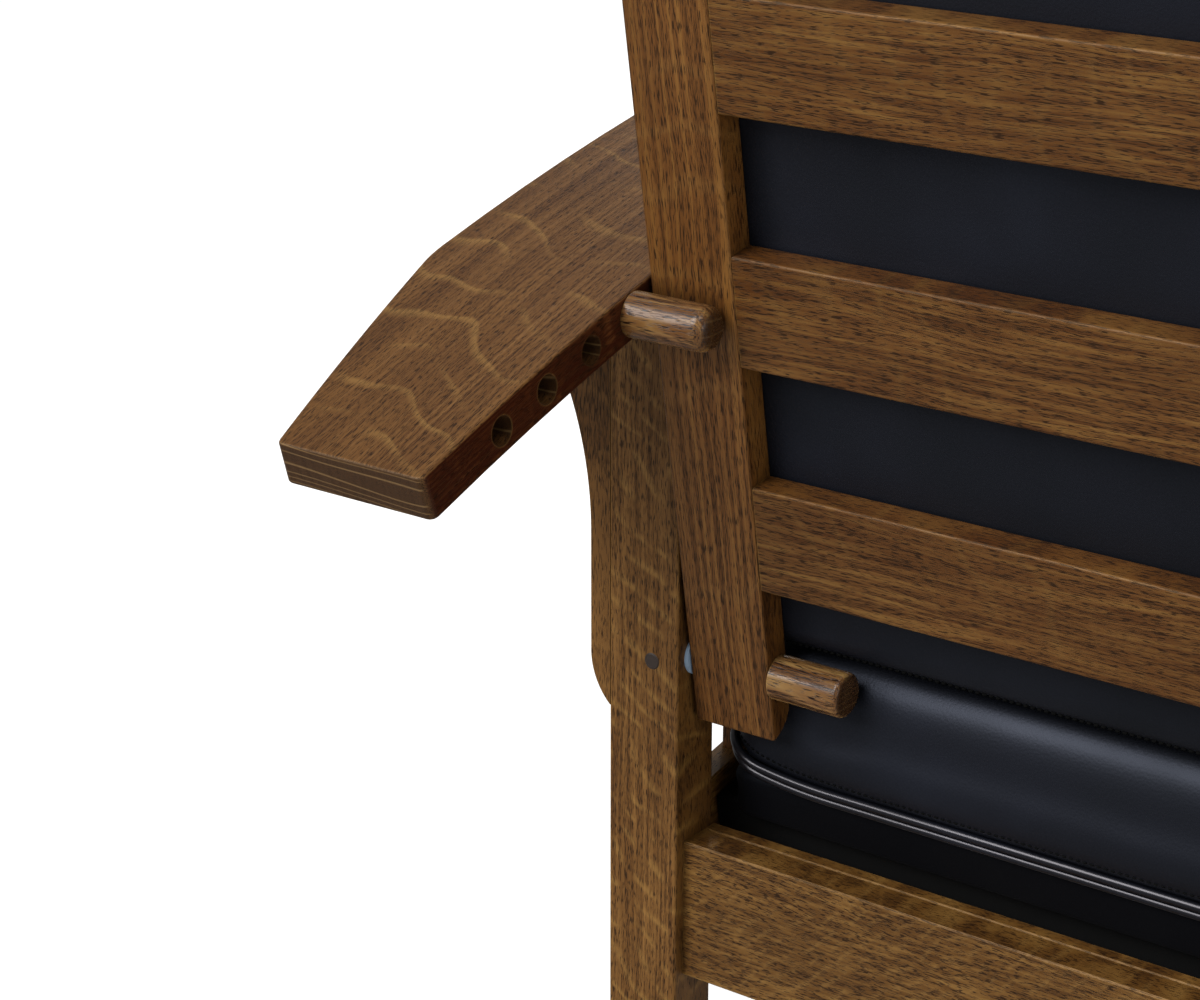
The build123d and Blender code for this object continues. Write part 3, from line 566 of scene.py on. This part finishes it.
def plain_finish(name, hex_colour, roughness, grain_mm, depth_mm, tone_change=0.25, shine=0.5):
    """A plain surface with a fine cloudy variation of its colour and a fine relief."""
    material, tree, shader = new_material(name)
    place = add_node(tree, "TexCoord", output="Object")
    noise = {"Vector": place, "Scale": 1 / (grain_mm * MM), "Detail": 3.0, "Roughness": 0.6}
    fine = add_node(tree, "TexNoise", noise, output="Fac")
    darkest, lightest = 1 - tone_change, 1 + tone_change
    levels = {"Value": fine, "From Min": 0.3, "From Max": 0.7, "To Min": darkest, "To Max": lightest}
    shade = add_node(tree, "MapRange", levels)
    tinted = add_node(tree, "VectorMath", {0: linear(hex_colour)[:3], 3: shade}, operation="SCALE")
    relief = {"Strength": RELIEF_STRENGTH, "Distance": depth_mm * MM, "Height": fine}
    bump = add_node(tree, "Bump", relief)
    tree.links.new(tinted, shader.inputs["Base Color"])
    tree.links.new(bump, shader.inputs["Normal"])
    shader.inputs["Roughness"].default_value = roughness
    shader.inputs["Specular IOR Level"].default_value = shine
    return material


# Matte paint, brushed on wood: nearly no shine, and so dark that the seat frame reads as a dark gap, as
# painted shade
black_paint_and_gap_shade = plain_finish("matte_black_paint_and_painted_gap_shade", "#040404", 0.75, 1.5, 0.1, shine=0.15)
# Sawn and unfinished: pale, dry and rough
sawn_wood = plain_finish("unfinished_sawn_wood", "#8d6d4a", 0.8, 2.5, 0.2)
# Moulded nylon: even in tone, with a soft waxy shine
pale_nylon = plain_finish("moulded_pale_nylon", "#76889a", 0.45, 0.8, 0.03, 0.05)
dark_nylon = plain_finish("moulded_dark_nylon", "#2b2b2c", 0.5, 0.8, 0.03, 0.08)
# A slice of stained end grain: dark, with a strong change of tone from pore to pore
dark_plug = plain_finish("stained_end_grain_plug", "#241810", 0.55, 0.9, 0.1, 0.4)
print("plain finishes:", len([black_paint_and_gap_shade, sawn_wood, pale_nylon, dark_nylon, dark_plug]))

# %% [markdown]
# Every node of the frame gets its finish by the start of its name, so the left and the right twin of a
# piece always match.

# %% Finishes on the frame
FINISHES = {
    "rear_leg": oak["upright"], "front_leg": oak["upright"],
    "rear_corbel": oak["corbel"], "front_corbel": oak["corbel"],
    "arm": oak["arm"], "prop_peg": oak["turned"], "pivot_pin": oak["turned"],
    "back_stile": oak["stile"], "back_slat": oak["slat"],
    "rear_rail": oak["cross_rail"], "front_rail": oak["cross_rail"],
    "side_rail": oak["side_rail"], "side_slat": oak["side_slat"],
    "leg_plug": dark_plug, "pivot_washer": pale_nylon,
    "rear_glide": dark_nylon, "front_glide": dark_nylon,
    "seat_frame": black_paint_and_gap_shade, "seat_board": sawn_wood,
    "side_cleat": sawn_wood, "front_cleat": sawn_wood,
}
for node_name, node in nodes.items():
    for prefix, finish in FINISHES.items():
        if node_name.startswith(prefix):
            node.data.materials.clear()
            node.data.materials.append(finish)
print("finishes given:", len(FINISHES))

# %% [markdown]
# ## Black leather
#
# The cushions are covered in a black, satin, aniline-dyed leather. Its surface has a fine pebble of about
# a millimetre, slow changes of gloss where it has been sat on, and faint creases. The colour is a very
# dark blue-black, because pure black would hide every form. A real dyed leather has an IOR near 1.5 and
# a roughness of 0.35 to 0.5. The pebble is drawn 1.6 mm wide, a little coarser than the real one, so that
# it shows in the picture.

# %% Leather
PEBBLE_MM = 1.6
CREASE_MM = 22
PATCH_MM = 90
LEATHER_IOR = 1.5
LEATHER_SHEEN_TONE = "#bcc4da"
LEATHER_TONES = ("#06070a", "#0a0b10", "#101219")


def black_leather(
    name, pebble_depth_mm=0.16, roughness=0.5, shine=0.42, sheen=LEATHER_SHEEN_TONE, tones=LEATHER_TONES,
):
    """Satin black leather with a fine pebble, faint creases and an uneven gloss."""
    material, tree, shader = new_material(name)
    add = partial(add_node, tree)
    place = add("TexCoord", output="Object")
    cells = {"Vector": place, "Scale": 1 / (PEBBLE_MM * MM), "Randomness": 1.0}
    pebble = add("TexVoronoi", cells, output="Distance", feature="SMOOTH_F1")
    folds = {"Vector": place, "Scale": 1 / (CREASE_MM * MM), "Detail": 6.0, "Roughness": 0.55}
    creases = add("TexNoise", {**folds, "Distortion": 0.6}, output="Fac")
    patches = add("TexNoise", {"Vector": place, "Scale": 1 / (PATCH_MM * MM), "Detail": 2.0}, output="Fac")
    stops = [(level, linear(tone)) for level, tone in zip((0.3, 0.55, 0.8), tones)]
    colour = add("ValToRGB", {0: patches}, stops=stops)
    duller, shinier = roughness + 0.04, roughness - 0.04
    levels = {"Value": patches, "From Min": 0.3, "From Max": 0.7, "To Min": duller, "To Max": shinier}
    gloss = add("MapRange", levels)
    relief = add("Math", {0: creases, 1: 1.2, 2: pebble}, operation="MULTIPLY_ADD")
    bump = add("Bump", {"Strength": 0.5, "Distance": pebble_depth_mm * MM, "Height": relief})
    tree.links.new(colour, shader.inputs["Base Color"])
    tree.links.new(gloss, shader.inputs["Roughness"])
    tree.links.new(bump, shader.inputs["Normal"])
    shader.inputs["IOR"].default_value = LEATHER_IOR
    shader.inputs["Specular IOR Level"].default_value = shine
    shader.inputs["Specular Tint"].default_value = linear(sheen)
    return material


leather = black_leather("satin_black_leather")
# The platform is rubbed by the loose cushion, so it is dull; it lies in the cushion's shade, and its darker
# tones are painted shade
shaded_platform_leather = black_leather(
    "dull_black_platform_leather_with_painted_shade", roughness=0.66, shine=0.12, tones=("#030304", "#050506", "#080809")
)
# Leather pulled tight round a cord: the pebble is flat and the line is bright
welt_leather = black_leather(
    "stretched_black_welt_leather", pebble_depth_mm=0.05, roughness=0.3, shine=0.5, sheen="#e4e0e6"
)
# Waxed and twisted thread: dull, and darker than the leather that it pulls in
thread = plain_finish("waxed_black_thread", "#020202", 0.9, 0.4, 0.05, shine=0.1)
print("kinds of leather:", len([leather, shaded_platform_leather, welt_leather]))

# %% [markdown]
# ## Cushions
#
# A boxed cushion is sewn from a top panel, a bottom panel and a band between them. Its two seams are the
# only lines that hold their place: everything between them is pushed out by the filling. So the base
# shape is made from rings, the two seam rings are pinned, and a short cloth simulation with air pressure
# inside does the rest. Each cushion has its own axes: across, away and up. For the seat cushion, away is
# to the rear and up is square to the seat. For the back cushion, away is up the back and up is forward.

# %% Cushion axes
class Bed:
    """The place a cushion lies on, with its own axes."""

    def __init__(self, origin, away, up):
        self.origin = Vector(origin)
        self.away = away
        self.up = up

    def point(self, across, away, up):
        """A place on this bed, in the chair's frame."""
        return self.origin + ACROSS * across + self.away * away + self.up * up

    def spans(self, node_name):
        """The lowest and highest values of a node along the three axes."""
        places = [v.co - self.origin for v in nodes[node_name].data.vertices]
        return [
            (min(p.dot(axis) for p in places), max(p.dot(axis) for p in places))
            for axis in (ACROSS, self.away, self.up)
        ]


seat_bed = Bed(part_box("seat_platform")[0], seat_rearward, seat_up)
pin_low, pin_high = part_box("pivot_pin_left")
back_bed = Bed((pin_low + pin_high) / 2, back_up, back_forward)
for bed in (seat_bed, back_bed):
    bed.origin.x = 0
print("the back's axes start at a height in metres of", round(back_bed.origin.z, 3))

# %% [markdown]
# A ring is a rounded rectangle: four straight sides and four quarter circles. It is walked in steps of
# about a millimetre, from the near side round to it again.

# %% Rounded rectangle
RING_STEP = 1 * MM


def ring_points(half_width, span, corner):
    """A rounded rectangle, closely walked, as (across, away) pairs from the start of its near side."""
    near, far = span
    straight = [
        (Vector((-half_width + corner, near)), Vector((half_width - corner, near))),
        (Vector((half_width, near + corner)), Vector((half_width, far - corner))),
        (Vector((half_width - corner, far)), Vector((-half_width + corner, far))),
        (Vector((-half_width, far - corner)), Vector((-half_width, near + corner))),
    ]
    centres = [
        Vector((half_width - corner, near + corner)), Vector((half_width - corner, far - corner)),
        Vector((-half_width + corner, far - corner)), Vector((-half_width + corner, near + corner)),
    ]
    points = []
    for side, (start, end) in enumerate(straight):
        steps = max(2, round((end - start).length / RING_STEP))
        points += [start.lerp(end, step / steps) for step in range(steps)]
        bend = max(3, round(corner * math.pi / 2 / RING_STEP))
        first = (side - 1) * math.pi / 2
        points += [
            centres[side] + Vector((math.cos(a), math.sin(a))) * corner
            for a in [first + math.pi / 2 * step / bend for step in range(bend)]
        ]
    return points


print("points round a square of 100 mm:", len(ring_points(50 * MM, (0, 100 * MM), 10 * MM)))

# %% [markdown]
# A ring that is larger or smaller than its neighbour needs as many points as it, or the band between them
# can't be bridged. So every ring of one cushion is walked in the same number of steps, as shares of its
# own length.

# %% Rings with the same count
RING_COUNT = 220


def measured(line):
    """A closed line with its first point repeated, and the length from its start to each point."""
    closed = line + [line[0]]
    lengths = [0.0]
    for first, second in zip(closed, closed[1:]):
        lengths.append(lengths[-1] + (second - first).length)
    return closed, lengths


def even_places(closed, lengths, count):
    """A fixed number of places, evenly spaced along a measured line."""
    places, index = [], 0
    for step in range(count):
        goal = lengths[-1] * step / count
        while lengths[index + 1] < goal:
            index += 1
        share = (goal - lengths[index]) / max(lengths[index + 1] - lengths[index], 1e-9)
        places.append(closed[index].lerp(closed[index + 1], share))
    return places


def even_ring(half_width, span, corner, count):
    """A rounded rectangle of a fixed number of points, evenly spaced along its length."""
    return even_places(*measured(ring_points(half_width, span, corner)), count)


print("points in each ring:", RING_COUNT)

# %% [markdown]
# Blender builds a mesh from points and faces in its bmesh module. A cushion's rings become its points, each
# ring is joined to the next one by a band of four-sided faces, and the first and the last ring are closed
# by one face each. The lift raises the lower rings near the ends, and fades out towards the top.

# %% Mesh through rings
def new_piece(name, build, smooth=True):
    """Turns a finished bmesh into a piece of the scene."""
    bmesh.ops.recalc_face_normals(build, faces=build.faces)
    mesh = bpy.data.meshes.new(name)
    build.to_mesh(mesh)
    build.free()
    for polygon in mesh.polygons:
        polygon.use_smooth = smooth
    piece = bpy.data.objects.new(name, mesh)
    bpy.context.scene.collection.objects.link(piece)
    return piece


def bridge(build, low, high):
    """Joins two closed loops of the same count by a band of faces."""
    for i in range(len(low)):
        j = (i + 1) % len(low)
        build.faces.new((low[i], low[j], high[j], high[i]))


def ring_solid(name, bed, rings, lift=lambda across: 0.0):
    """A closed mesh through rings of (half width, span, corner, height), capped at both ends."""
    build = bmesh.new()
    loops = []
    for half_width, span, corner, height in rings:
        places = even_ring(half_width, span, corner, RING_COUNT)
        fade = max(0.0, 1 - (height - rings[0][3]) / (rings[-1][3] - rings[0][3]) * 2)
        loops.append([build.verts.new(bed.point(p.x, p.y, height + lift(p.x) * fade)) for p in places])
    for low, high in zip(loops, loops[1:]):
        bridge(build, low, high)
    build.faces.new(list(reversed(loops[0])))
    build.faces.new(loops[-1])
    return new_piece(name, build, smooth=False)


print("faces between two rings:", RING_COUNT)

# %% [markdown]
# Blender's modifiers work on a copy of the mesh when the scene is evaluated. To keep a result, the
# evaluated mesh is copied back and the modifiers are dropped. First the mesh is made even, with points 6 mm
# apart. Points near a seam are pinned. The simulation runs for twenty frames, and then a cap keeps any
# point from moving further than the real filling would push it.

# %% Stuffing a cushion
VOXEL_MM = 6.0
PIN_REACH_MM = 5.0
LEATHER_MASS = 0.4  # kilograms for each point
STRETCH_STIFFNESS = 18
SHEAR_STIFFNESS = 10
BENDING_STIFFNESS = 2.0
PRESSURE = 4.0
FRAMES = 20
EVEN_OUT_PASSES = 9


def keep_result(piece):
    """Replaces the piece's mesh by its evaluated one and drops its modifiers."""
    graph = bpy.context.evaluated_depsgraph_get()
    result = bpy.data.meshes.new_from_object(piece.evaluated_get(graph))
    piece.modifiers.clear()
    piece.data = result


def stuff(piece, seams, cap_mm):
    """Fills a cushion: even mesh, pinned seams, pressure, a cap on the swell, one subdivision."""
    remesh = piece.modifiers.new("even_mesh", "REMESH")
    remesh.mode = "VOXEL"
    remesh.voxel_size = VOXEL_MM * MM
    keep_result(piece)
    before = [v.co.copy() for v in piece.data.vertices]
    near_seam = BVHTree.FromPolygons(*seam_ribbon(seams))
    pinned = [i for i, co in enumerate(before) if near_seam.find_nearest(co)[3] < PIN_REACH_MM * MM]
    group = piece.vertex_groups.new(name="seams")
    group.add(pinned, 1.0, "REPLACE")
    cloth = piece.modifiers.new("filling", "CLOTH")
    settings = cloth.settings
    settings.quality = 6
    settings.mass = LEATHER_MASS
    settings.tension_stiffness = STRETCH_STIFFNESS
    settings.compression_stiffness = STRETCH_STIFFNESS
    settings.shear_stiffness = SHEAR_STIFFNESS
    settings.bending_stiffness = BENDING_STIFFNESS
    settings.use_pressure = True
    settings.uniform_pressure_force = PRESSURE
    settings.effector_weights.gravity = 0
    settings.vertex_group_mass = "seams"
    cloth.point_cache.frame_start = 1
    cloth.point_cache.frame_end = FRAMES
    for step in range(1, FRAMES + 1):
        bpy.context.scene.frame_set(step)
    keep_result(piece)
    bpy.context.scene.frame_set(1)
    for vertex, start in zip(piece.data.vertices, before):
        move = vertex.co - start
        if move.length > cap_mm * MM:
            vertex.co = start + move.normalized() * cap_mm * MM
    smooth = piece.modifiers.new("even_out", "SMOOTH")
    smooth.factor = 0.5
    smooth.iterations = EVEN_OUT_PASSES
    finer = piece.modifiers.new("finer", "SUBSURF")
    finer.levels = 1
    keep_result(piece)
    piece.vertex_groups.clear()
    for polygon in piece.data.polygons:
        polygon.use_smooth = True


def seam_ribbon(seams):
    """Points and thin faces along closed seam lines, for finding what lies near them."""
    points, faces = [], []
    for line in seams:
        first = len(points)
        for place in line:
            points.append(place)
            points.append(place + Vector((0, 0, 0.01 * MM)))
        for i in range(len(line)):
            a, b = first + 2 * i, first + 2 * ((i + 1) % len(line))
            faces.append((a, b, b + 1, a + 1))
    return points, faces


print("points of the mesh are", VOXEL_MM, "mm apart before they are made finer")

# %% [markdown]
# A welt is a cord wrapped in leather and sewn into a seam. It is swept here as a tube: at each point of the
# seam a circle of points is set square to the line, and the circles are joined. Where a seam lies on a
# surface that the filling has pushed out, its line is first moved onto that surface.

# %% Welts
WELT_RADIUS_MM = 2.8
WELT_SIDES = 10
WELT_STEP = 5 * MM
LINE_PASSES = 4


def smooth_walk(line, pitch):
    """Places at an even pitch along a closed line, with the direction at each."""
    closed, lengths = measured(line)
    count = max(8, round(lengths[-1] / pitch))
    places = even_places(closed, lengths, count)
    return [
        (place, (places[(i + 1) % count] - places[i - 1]).normalized()) for i, place in enumerate(places)
    ]


def circle(build, centre, side, top, radius, sides):
    """A circle of points about a centre, in the plane of two directions."""
    return [
        build.verts.new(centre + (side * math.cos(a) + top * math.sin(a)) * radius)
        for a in [2 * math.pi * k / sides for k in range(sides)]
    ]


def welt(name, line, up):
    """A leather-covered cord along a closed line."""
    build = bmesh.new()
    loops = []
    for place, way in smooth_walk(line, WELT_STEP):
        side = way.cross(up).normalized()
        loops.append(circle(build, place, side, side.cross(way), WELT_RADIUS_MM * MM, WELT_SIDES))
    for i, loop in enumerate(loops):
        bridge(build, loop, loops[(i + 1) % len(loops)])
    return new_piece(name, build)


def surface_of(piece):
    """The piece's surface, for finding the nearest place on it."""
    return BVHTree.FromObject(piece, bpy.context.evaluated_depsgraph_get())


def onto(line, cushion_piece, lift):
    """A closed line moved onto a cushion's surface, raised a little and evened out."""
    surface = surface_of(cushion_piece)
    moved = []
    for place in line:
        spot, normal, _, _ = surface.find_nearest(place)
        moved.append(spot + normal * lift)
    for _ in range(LINE_PASSES):
        moved = [(moved[i - 1] + moved[i] * 2 + moved[(i + 1) % len(moved)]) / 4 for i in range(len(moved))]
    return moved


print("a welt is", 2 * WELT_RADIUS_MM, "mm thick")

# %% [markdown]
# A stitch is a short capsule of thread that lies on the leather, with its ends sunk in. The line of the row
# is walked at the stitch pitch, and each place is moved onto the finished cushion, so that no stitch
# floats. Each capsule goes through four circles: small, full, full and small.

# %% Stitches
STITCH_PITCH_MM = 4.4
STITCH_SIDES = 6
SEAM_COUNT = 400
# Each circle's place as a share of the stitch's length, its width and its rise as shares of the radius
STITCH_CIRCLES = ((-0.5, 0.35, -0.4), (-0.32, 1.0, 0.5), (0.32, 1.0, 0.5), (0.5, 0.35, -0.4))


def stitches(name, line, cushion_piece, length_mm, radius_mm):
    """A row of stitches along a line, laid onto a cushion's surface."""
    surface = surface_of(cushion_piece)
    length, radius = length_mm * MM, radius_mm * MM
    build = bmesh.new()
    for place, way in smooth_walk(line, STITCH_PITCH_MM * MM):
        spot, normal, _, _ = surface.find_nearest(place)
        side = way.cross(normal).normalized()
        rise = side.cross(way).normalized()
        rings = []
        for share, width, lift in STITCH_CIRCLES:
            centre = spot + way * (share * length) + rise * (radius * lift)
            rings.append(circle(build, centre, side, rise, radius * width, STITCH_SIDES))
        for low, high in zip(rings, rings[1:]):
            bridge(build, low, high)
        build.faces.new(list(reversed(rings[0])))
        build.faces.new(rings[-1])
    return new_piece(name, build)


def settle(piece, body, material):
    """Gives a new piece its finish, its body and its material slot."""
    piece.data.materials.clear()
    piece.data.materials.append(material)
    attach(piece, body)


def seam_line(bed, ring, lift=lambda across: 0.0):
    """A seam ring's places in the chair's frame."""
    half_width, span, corner, height = ring
    places = even_ring(half_width, span, corner, SEAM_COUNT)
    return [bed.point(p.x, p.y, height + lift(p.x)) for p in places]


print("stitches in ten centimetres:", round(100 / STITCH_PITCH_MM))

# %% [markdown]
# ## The seat
#
# The seat is in two layers. The lower one is a boxed platform, upholstered over the black seat frame: it
# hardly swells, so it needs no simulation, only slightly hollow sides and a rounded upper edge. The loose
# cushion lies on it and is a little wider. A double welt runs round its lower seam, and the photograph
# shows it as two bright lines with a dark line between them, which climb where the corner turns up like
# an ear. A row of stitches follows just above. Higher up the rear face swells in one smooth roll.

# %% Seat platform
PLATFORM_CORNER = 12 * MM
# Shares of the platform's height, each with how many millimetres its ring is drawn in
PLATFORM_SHARES = (
    (0.0, 2.2), (0.02, 0.8), (0.1, 0.5), (0.5, 1.6), (0.8, 1.0), (0.9, 2.0), (0.96, 5.0), (0.985, 12.0),
)
platform_across, platform_away, (platform_low, platform_high) = seat_bed.spans("seat_platform")
platform_half = platform_across[1]


def platform_ring(height_share, draw_mm):
    """A ring of the platform at a share of its height, drawn in by some millimetres."""
    draw = draw_mm * MM
    height = platform_low + (platform_high - platform_low) * height_share
    return (
        platform_half - draw, (platform_away[0] + draw, platform_away[1] - draw),
        PLATFORM_CORNER - draw * 0.5, height,
    )


platform_rings = [platform_ring(share, draw) for share, draw in PLATFORM_SHARES]
platform = ring_solid("seat_platform_leather", seat_bed, platform_rings)
for polygon in platform.data.polygons:
    polygon.use_smooth = len(polygon.vertices) == 4
settle(platform, "base", shaded_platform_leather)
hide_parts("seat_platform")
print("platform height in millimetres:", round((platform_high - platform_low) / MM, 1))

# %% [markdown]
# The frame's plain solid gives the loose cushion its place. The leather reaches a few millimetres past it,
# because the filling pushes it out. Its rings start at the flat base, go through the two seams and end in
# the roll. The filling stands highest near the edge of the top panel, which gives the cushion a low rim.

# %% Loose seat cushion
seat_across, seat_away, seat_height = seat_bed.spans("seat_cushion")
SEAT_CORNER = 32 * MM
SEAM_GAP = 4.6 * MM
PAST_SIDE, PAST_FRONT, PAST_REAR = 6.6 * MM, 2 * MM, 3.5 * MM
# The lower seams climb over the last part of the way to each end, by so many millimetres
EAR_START = 0.70
EAR_MM = 12.5
# Shares of the cushion's height, each with how many millimetres its ring is drawn in
ROLL_SHARES = (
    (0.30, 1.5), (0.55, 0.4), (0.75, 2.2), (0.88, 5.8),
    (0.98, 12.0), (1.045, 21.0), (1.045, 33.0), (0.99, 62.0),
)
seat_size = seat_height[1] - seat_height[0]
seat_half = seat_across[1] + PAST_SIDE
seat_span = (seat_away[0] - PAST_FRONT, seat_away[1] + PAST_REAR)


def seat_ring(height, draw_mm):
    """A ring of the seat cushion at a height above its base, drawn in by some millimetres."""
    draw = draw_mm * MM
    span = (seat_span[0] + draw, seat_span[1] - draw)
    return (seat_half - draw, span, SEAT_CORNER - draw * 0.4, seat_height[0] + height)


def seat_ear(across):
    """How far the lower seams climb near the cushion's ends."""
    beyond = max(0.0, abs(across) / seat_half - EAR_START) / (1 - EAR_START)
    return EAR_MM * MM * beyond ** 2


lower_seam_ring = seat_ring(0.0, 2.0)
upper_seam_ring = seat_ring(SEAM_GAP, 2.0)
seat_rings = [seat_ring(-0.2 * MM, 14.0), seat_ring(-0.2 * MM, 6.0), lower_seam_ring, upper_seam_ring]
seat_rings += [seat_ring(share * seat_size, draw) for share, draw in ROLL_SHARES]
seat_cushion = ring_solid("seat_cushion_leather", seat_bed, seat_rings, seat_ear)
seat_seams = [seam_line(seat_bed, ring, seat_ear) for ring in (lower_seam_ring, upper_seam_ring)]
stuff(seat_cushion, seat_seams, cap_mm=4.0)
settle(seat_cushion, "base", leather)
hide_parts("seat_cushion")
print("seat cushion vertices:", len(seat_cushion.data.vertices))

# %% [markdown]
# The welts lie in the two seams, a little below and above them, so that the dark line between stays open.
# The row of stitches holds the seam's allowance on the inside, 12.5 mm above the base.

# %% Welts and stitches of the seat
SEAT_ROW = 12.5 * MM

for welt_name, height, draw in (("lower", -1.4 * MM, 1.0), ("upper", 4.5 * MM, 0.4)):
    line = seam_line(seat_bed, seat_ring(height, draw), seat_ear)
    seat_welt = welt(f"seat_cushion_{welt_name}_welt", line, seat_up)
    settle(seat_welt, "base", welt_leather)
seat_row_line = seam_line(seat_bed, seat_ring(SEAT_ROW, 0.0), seat_ear)
seat_row = stitches("seat_cushion_stitches", seat_row_line, seat_cushion, 2.8, 0.6)
settle(seat_row, "base", thread)
print("faces in the seat's row of stitches:", len(seat_row.data.polygons))

# %% [markdown]
# ## The back cushion
#
# The back cushion stands on its lower edge against the slats. Its rear seam is plain, without a welt, and
# the photograph shows the stitches of its lower edge just above the seat. The front seam has a welt. The
# underside rises to the front, as in the frame, so that the back can be folded forward.

# %% Back cushion
BACK_CORNER = 26 * MM
BACK_RISE = 25.0 * MM
BACK_CROWN = 24 * MM
# How far the leather lies inside the plain solid at the lower edge, the upper edge and the sides
INSIDE_LOWER, INSIDE_UPPER, INSIDE_SIDE = 1.0 * MM, 4 * MM, 2 * MM
back_across, back_away, back_depth = back_bed.spans("back_cushion")


def back_ring(depth, draw_mm, rise=0.0):
    """A ring of the back cushion at a depth in front of the slats."""
    draw = draw_mm * MM
    span = (back_away[0] + INSIDE_LOWER + draw + rise, back_away[1] - INSIDE_UPPER - draw)
    return (back_across[1] - INSIDE_SIDE - draw, span, BACK_CORNER - draw * 0.5, back_depth[0] + depth)


back_band = back_depth[1] - back_depth[0] - BACK_CROWN
rear_seam_ring = back_ring(1.2 * MM, 0.5)
front_seam_ring = back_ring(back_band, 4.0, BACK_RISE)
back_rings = [
    back_ring(0.2 * MM, 14.0), back_ring(0.4 * MM, 3.0), rear_seam_ring,
    back_ring(back_band * 0.5, 3.0, BACK_RISE * 0.5), front_seam_ring,
    back_ring(back_band + 6 * MM, 12.0, BACK_RISE), back_ring(back_band + 11 * MM, 45.0, BACK_RISE),
]
back_cushion = ring_solid("back_cushion_leather", back_bed, back_rings)
back_seams = [seam_line(back_bed, rear_seam_ring), seam_line(back_bed, front_seam_ring)]
stuff(back_cushion, back_seams, cap_mm=12.0)
# The slats hold the leather flat, so no point goes further to the rear than the solid's own rear face
rear_plane = back_depth[0] + 0.1 * MM
for vertex in back_cushion.data.vertices:
    depth = (vertex.co - back_bed.origin).dot(back_bed.up) - rear_plane
    if depth < 0:
        vertex.co -= back_bed.up * depth
settle(back_cushion, "back", leather)
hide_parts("back_cushion")
print("back cushion vertices:", len(back_cushion.data.vertices))

# %% [markdown]
# The filling pushes the front seam out, so the line of its welt is moved onto the finished cushion and
# raised by a millimetre. The photograph shows the stitches of the rear seam larger than those of the seat.

# %% Welt and stitches of the back
front_line = onto(seam_line(back_bed, back_ring(back_band, 2.5, BACK_RISE)), back_cushion, 1 * MM)
front_welt = welt("back_cushion_front_welt", front_line, back_forward)
settle(front_welt, "back", welt_leather)
rear_row_line = seam_line(back_bed, back_ring(0.2 * MM, 3.4))
rear_row = stitches("back_cushion_rear_stitches", rear_row_line, back_cushion, 3.4, 0.95)
settle(rear_row, "back", thread)
print("faces in the back's row of stitches:", len(rear_row.data.polygons))

# %% [markdown]
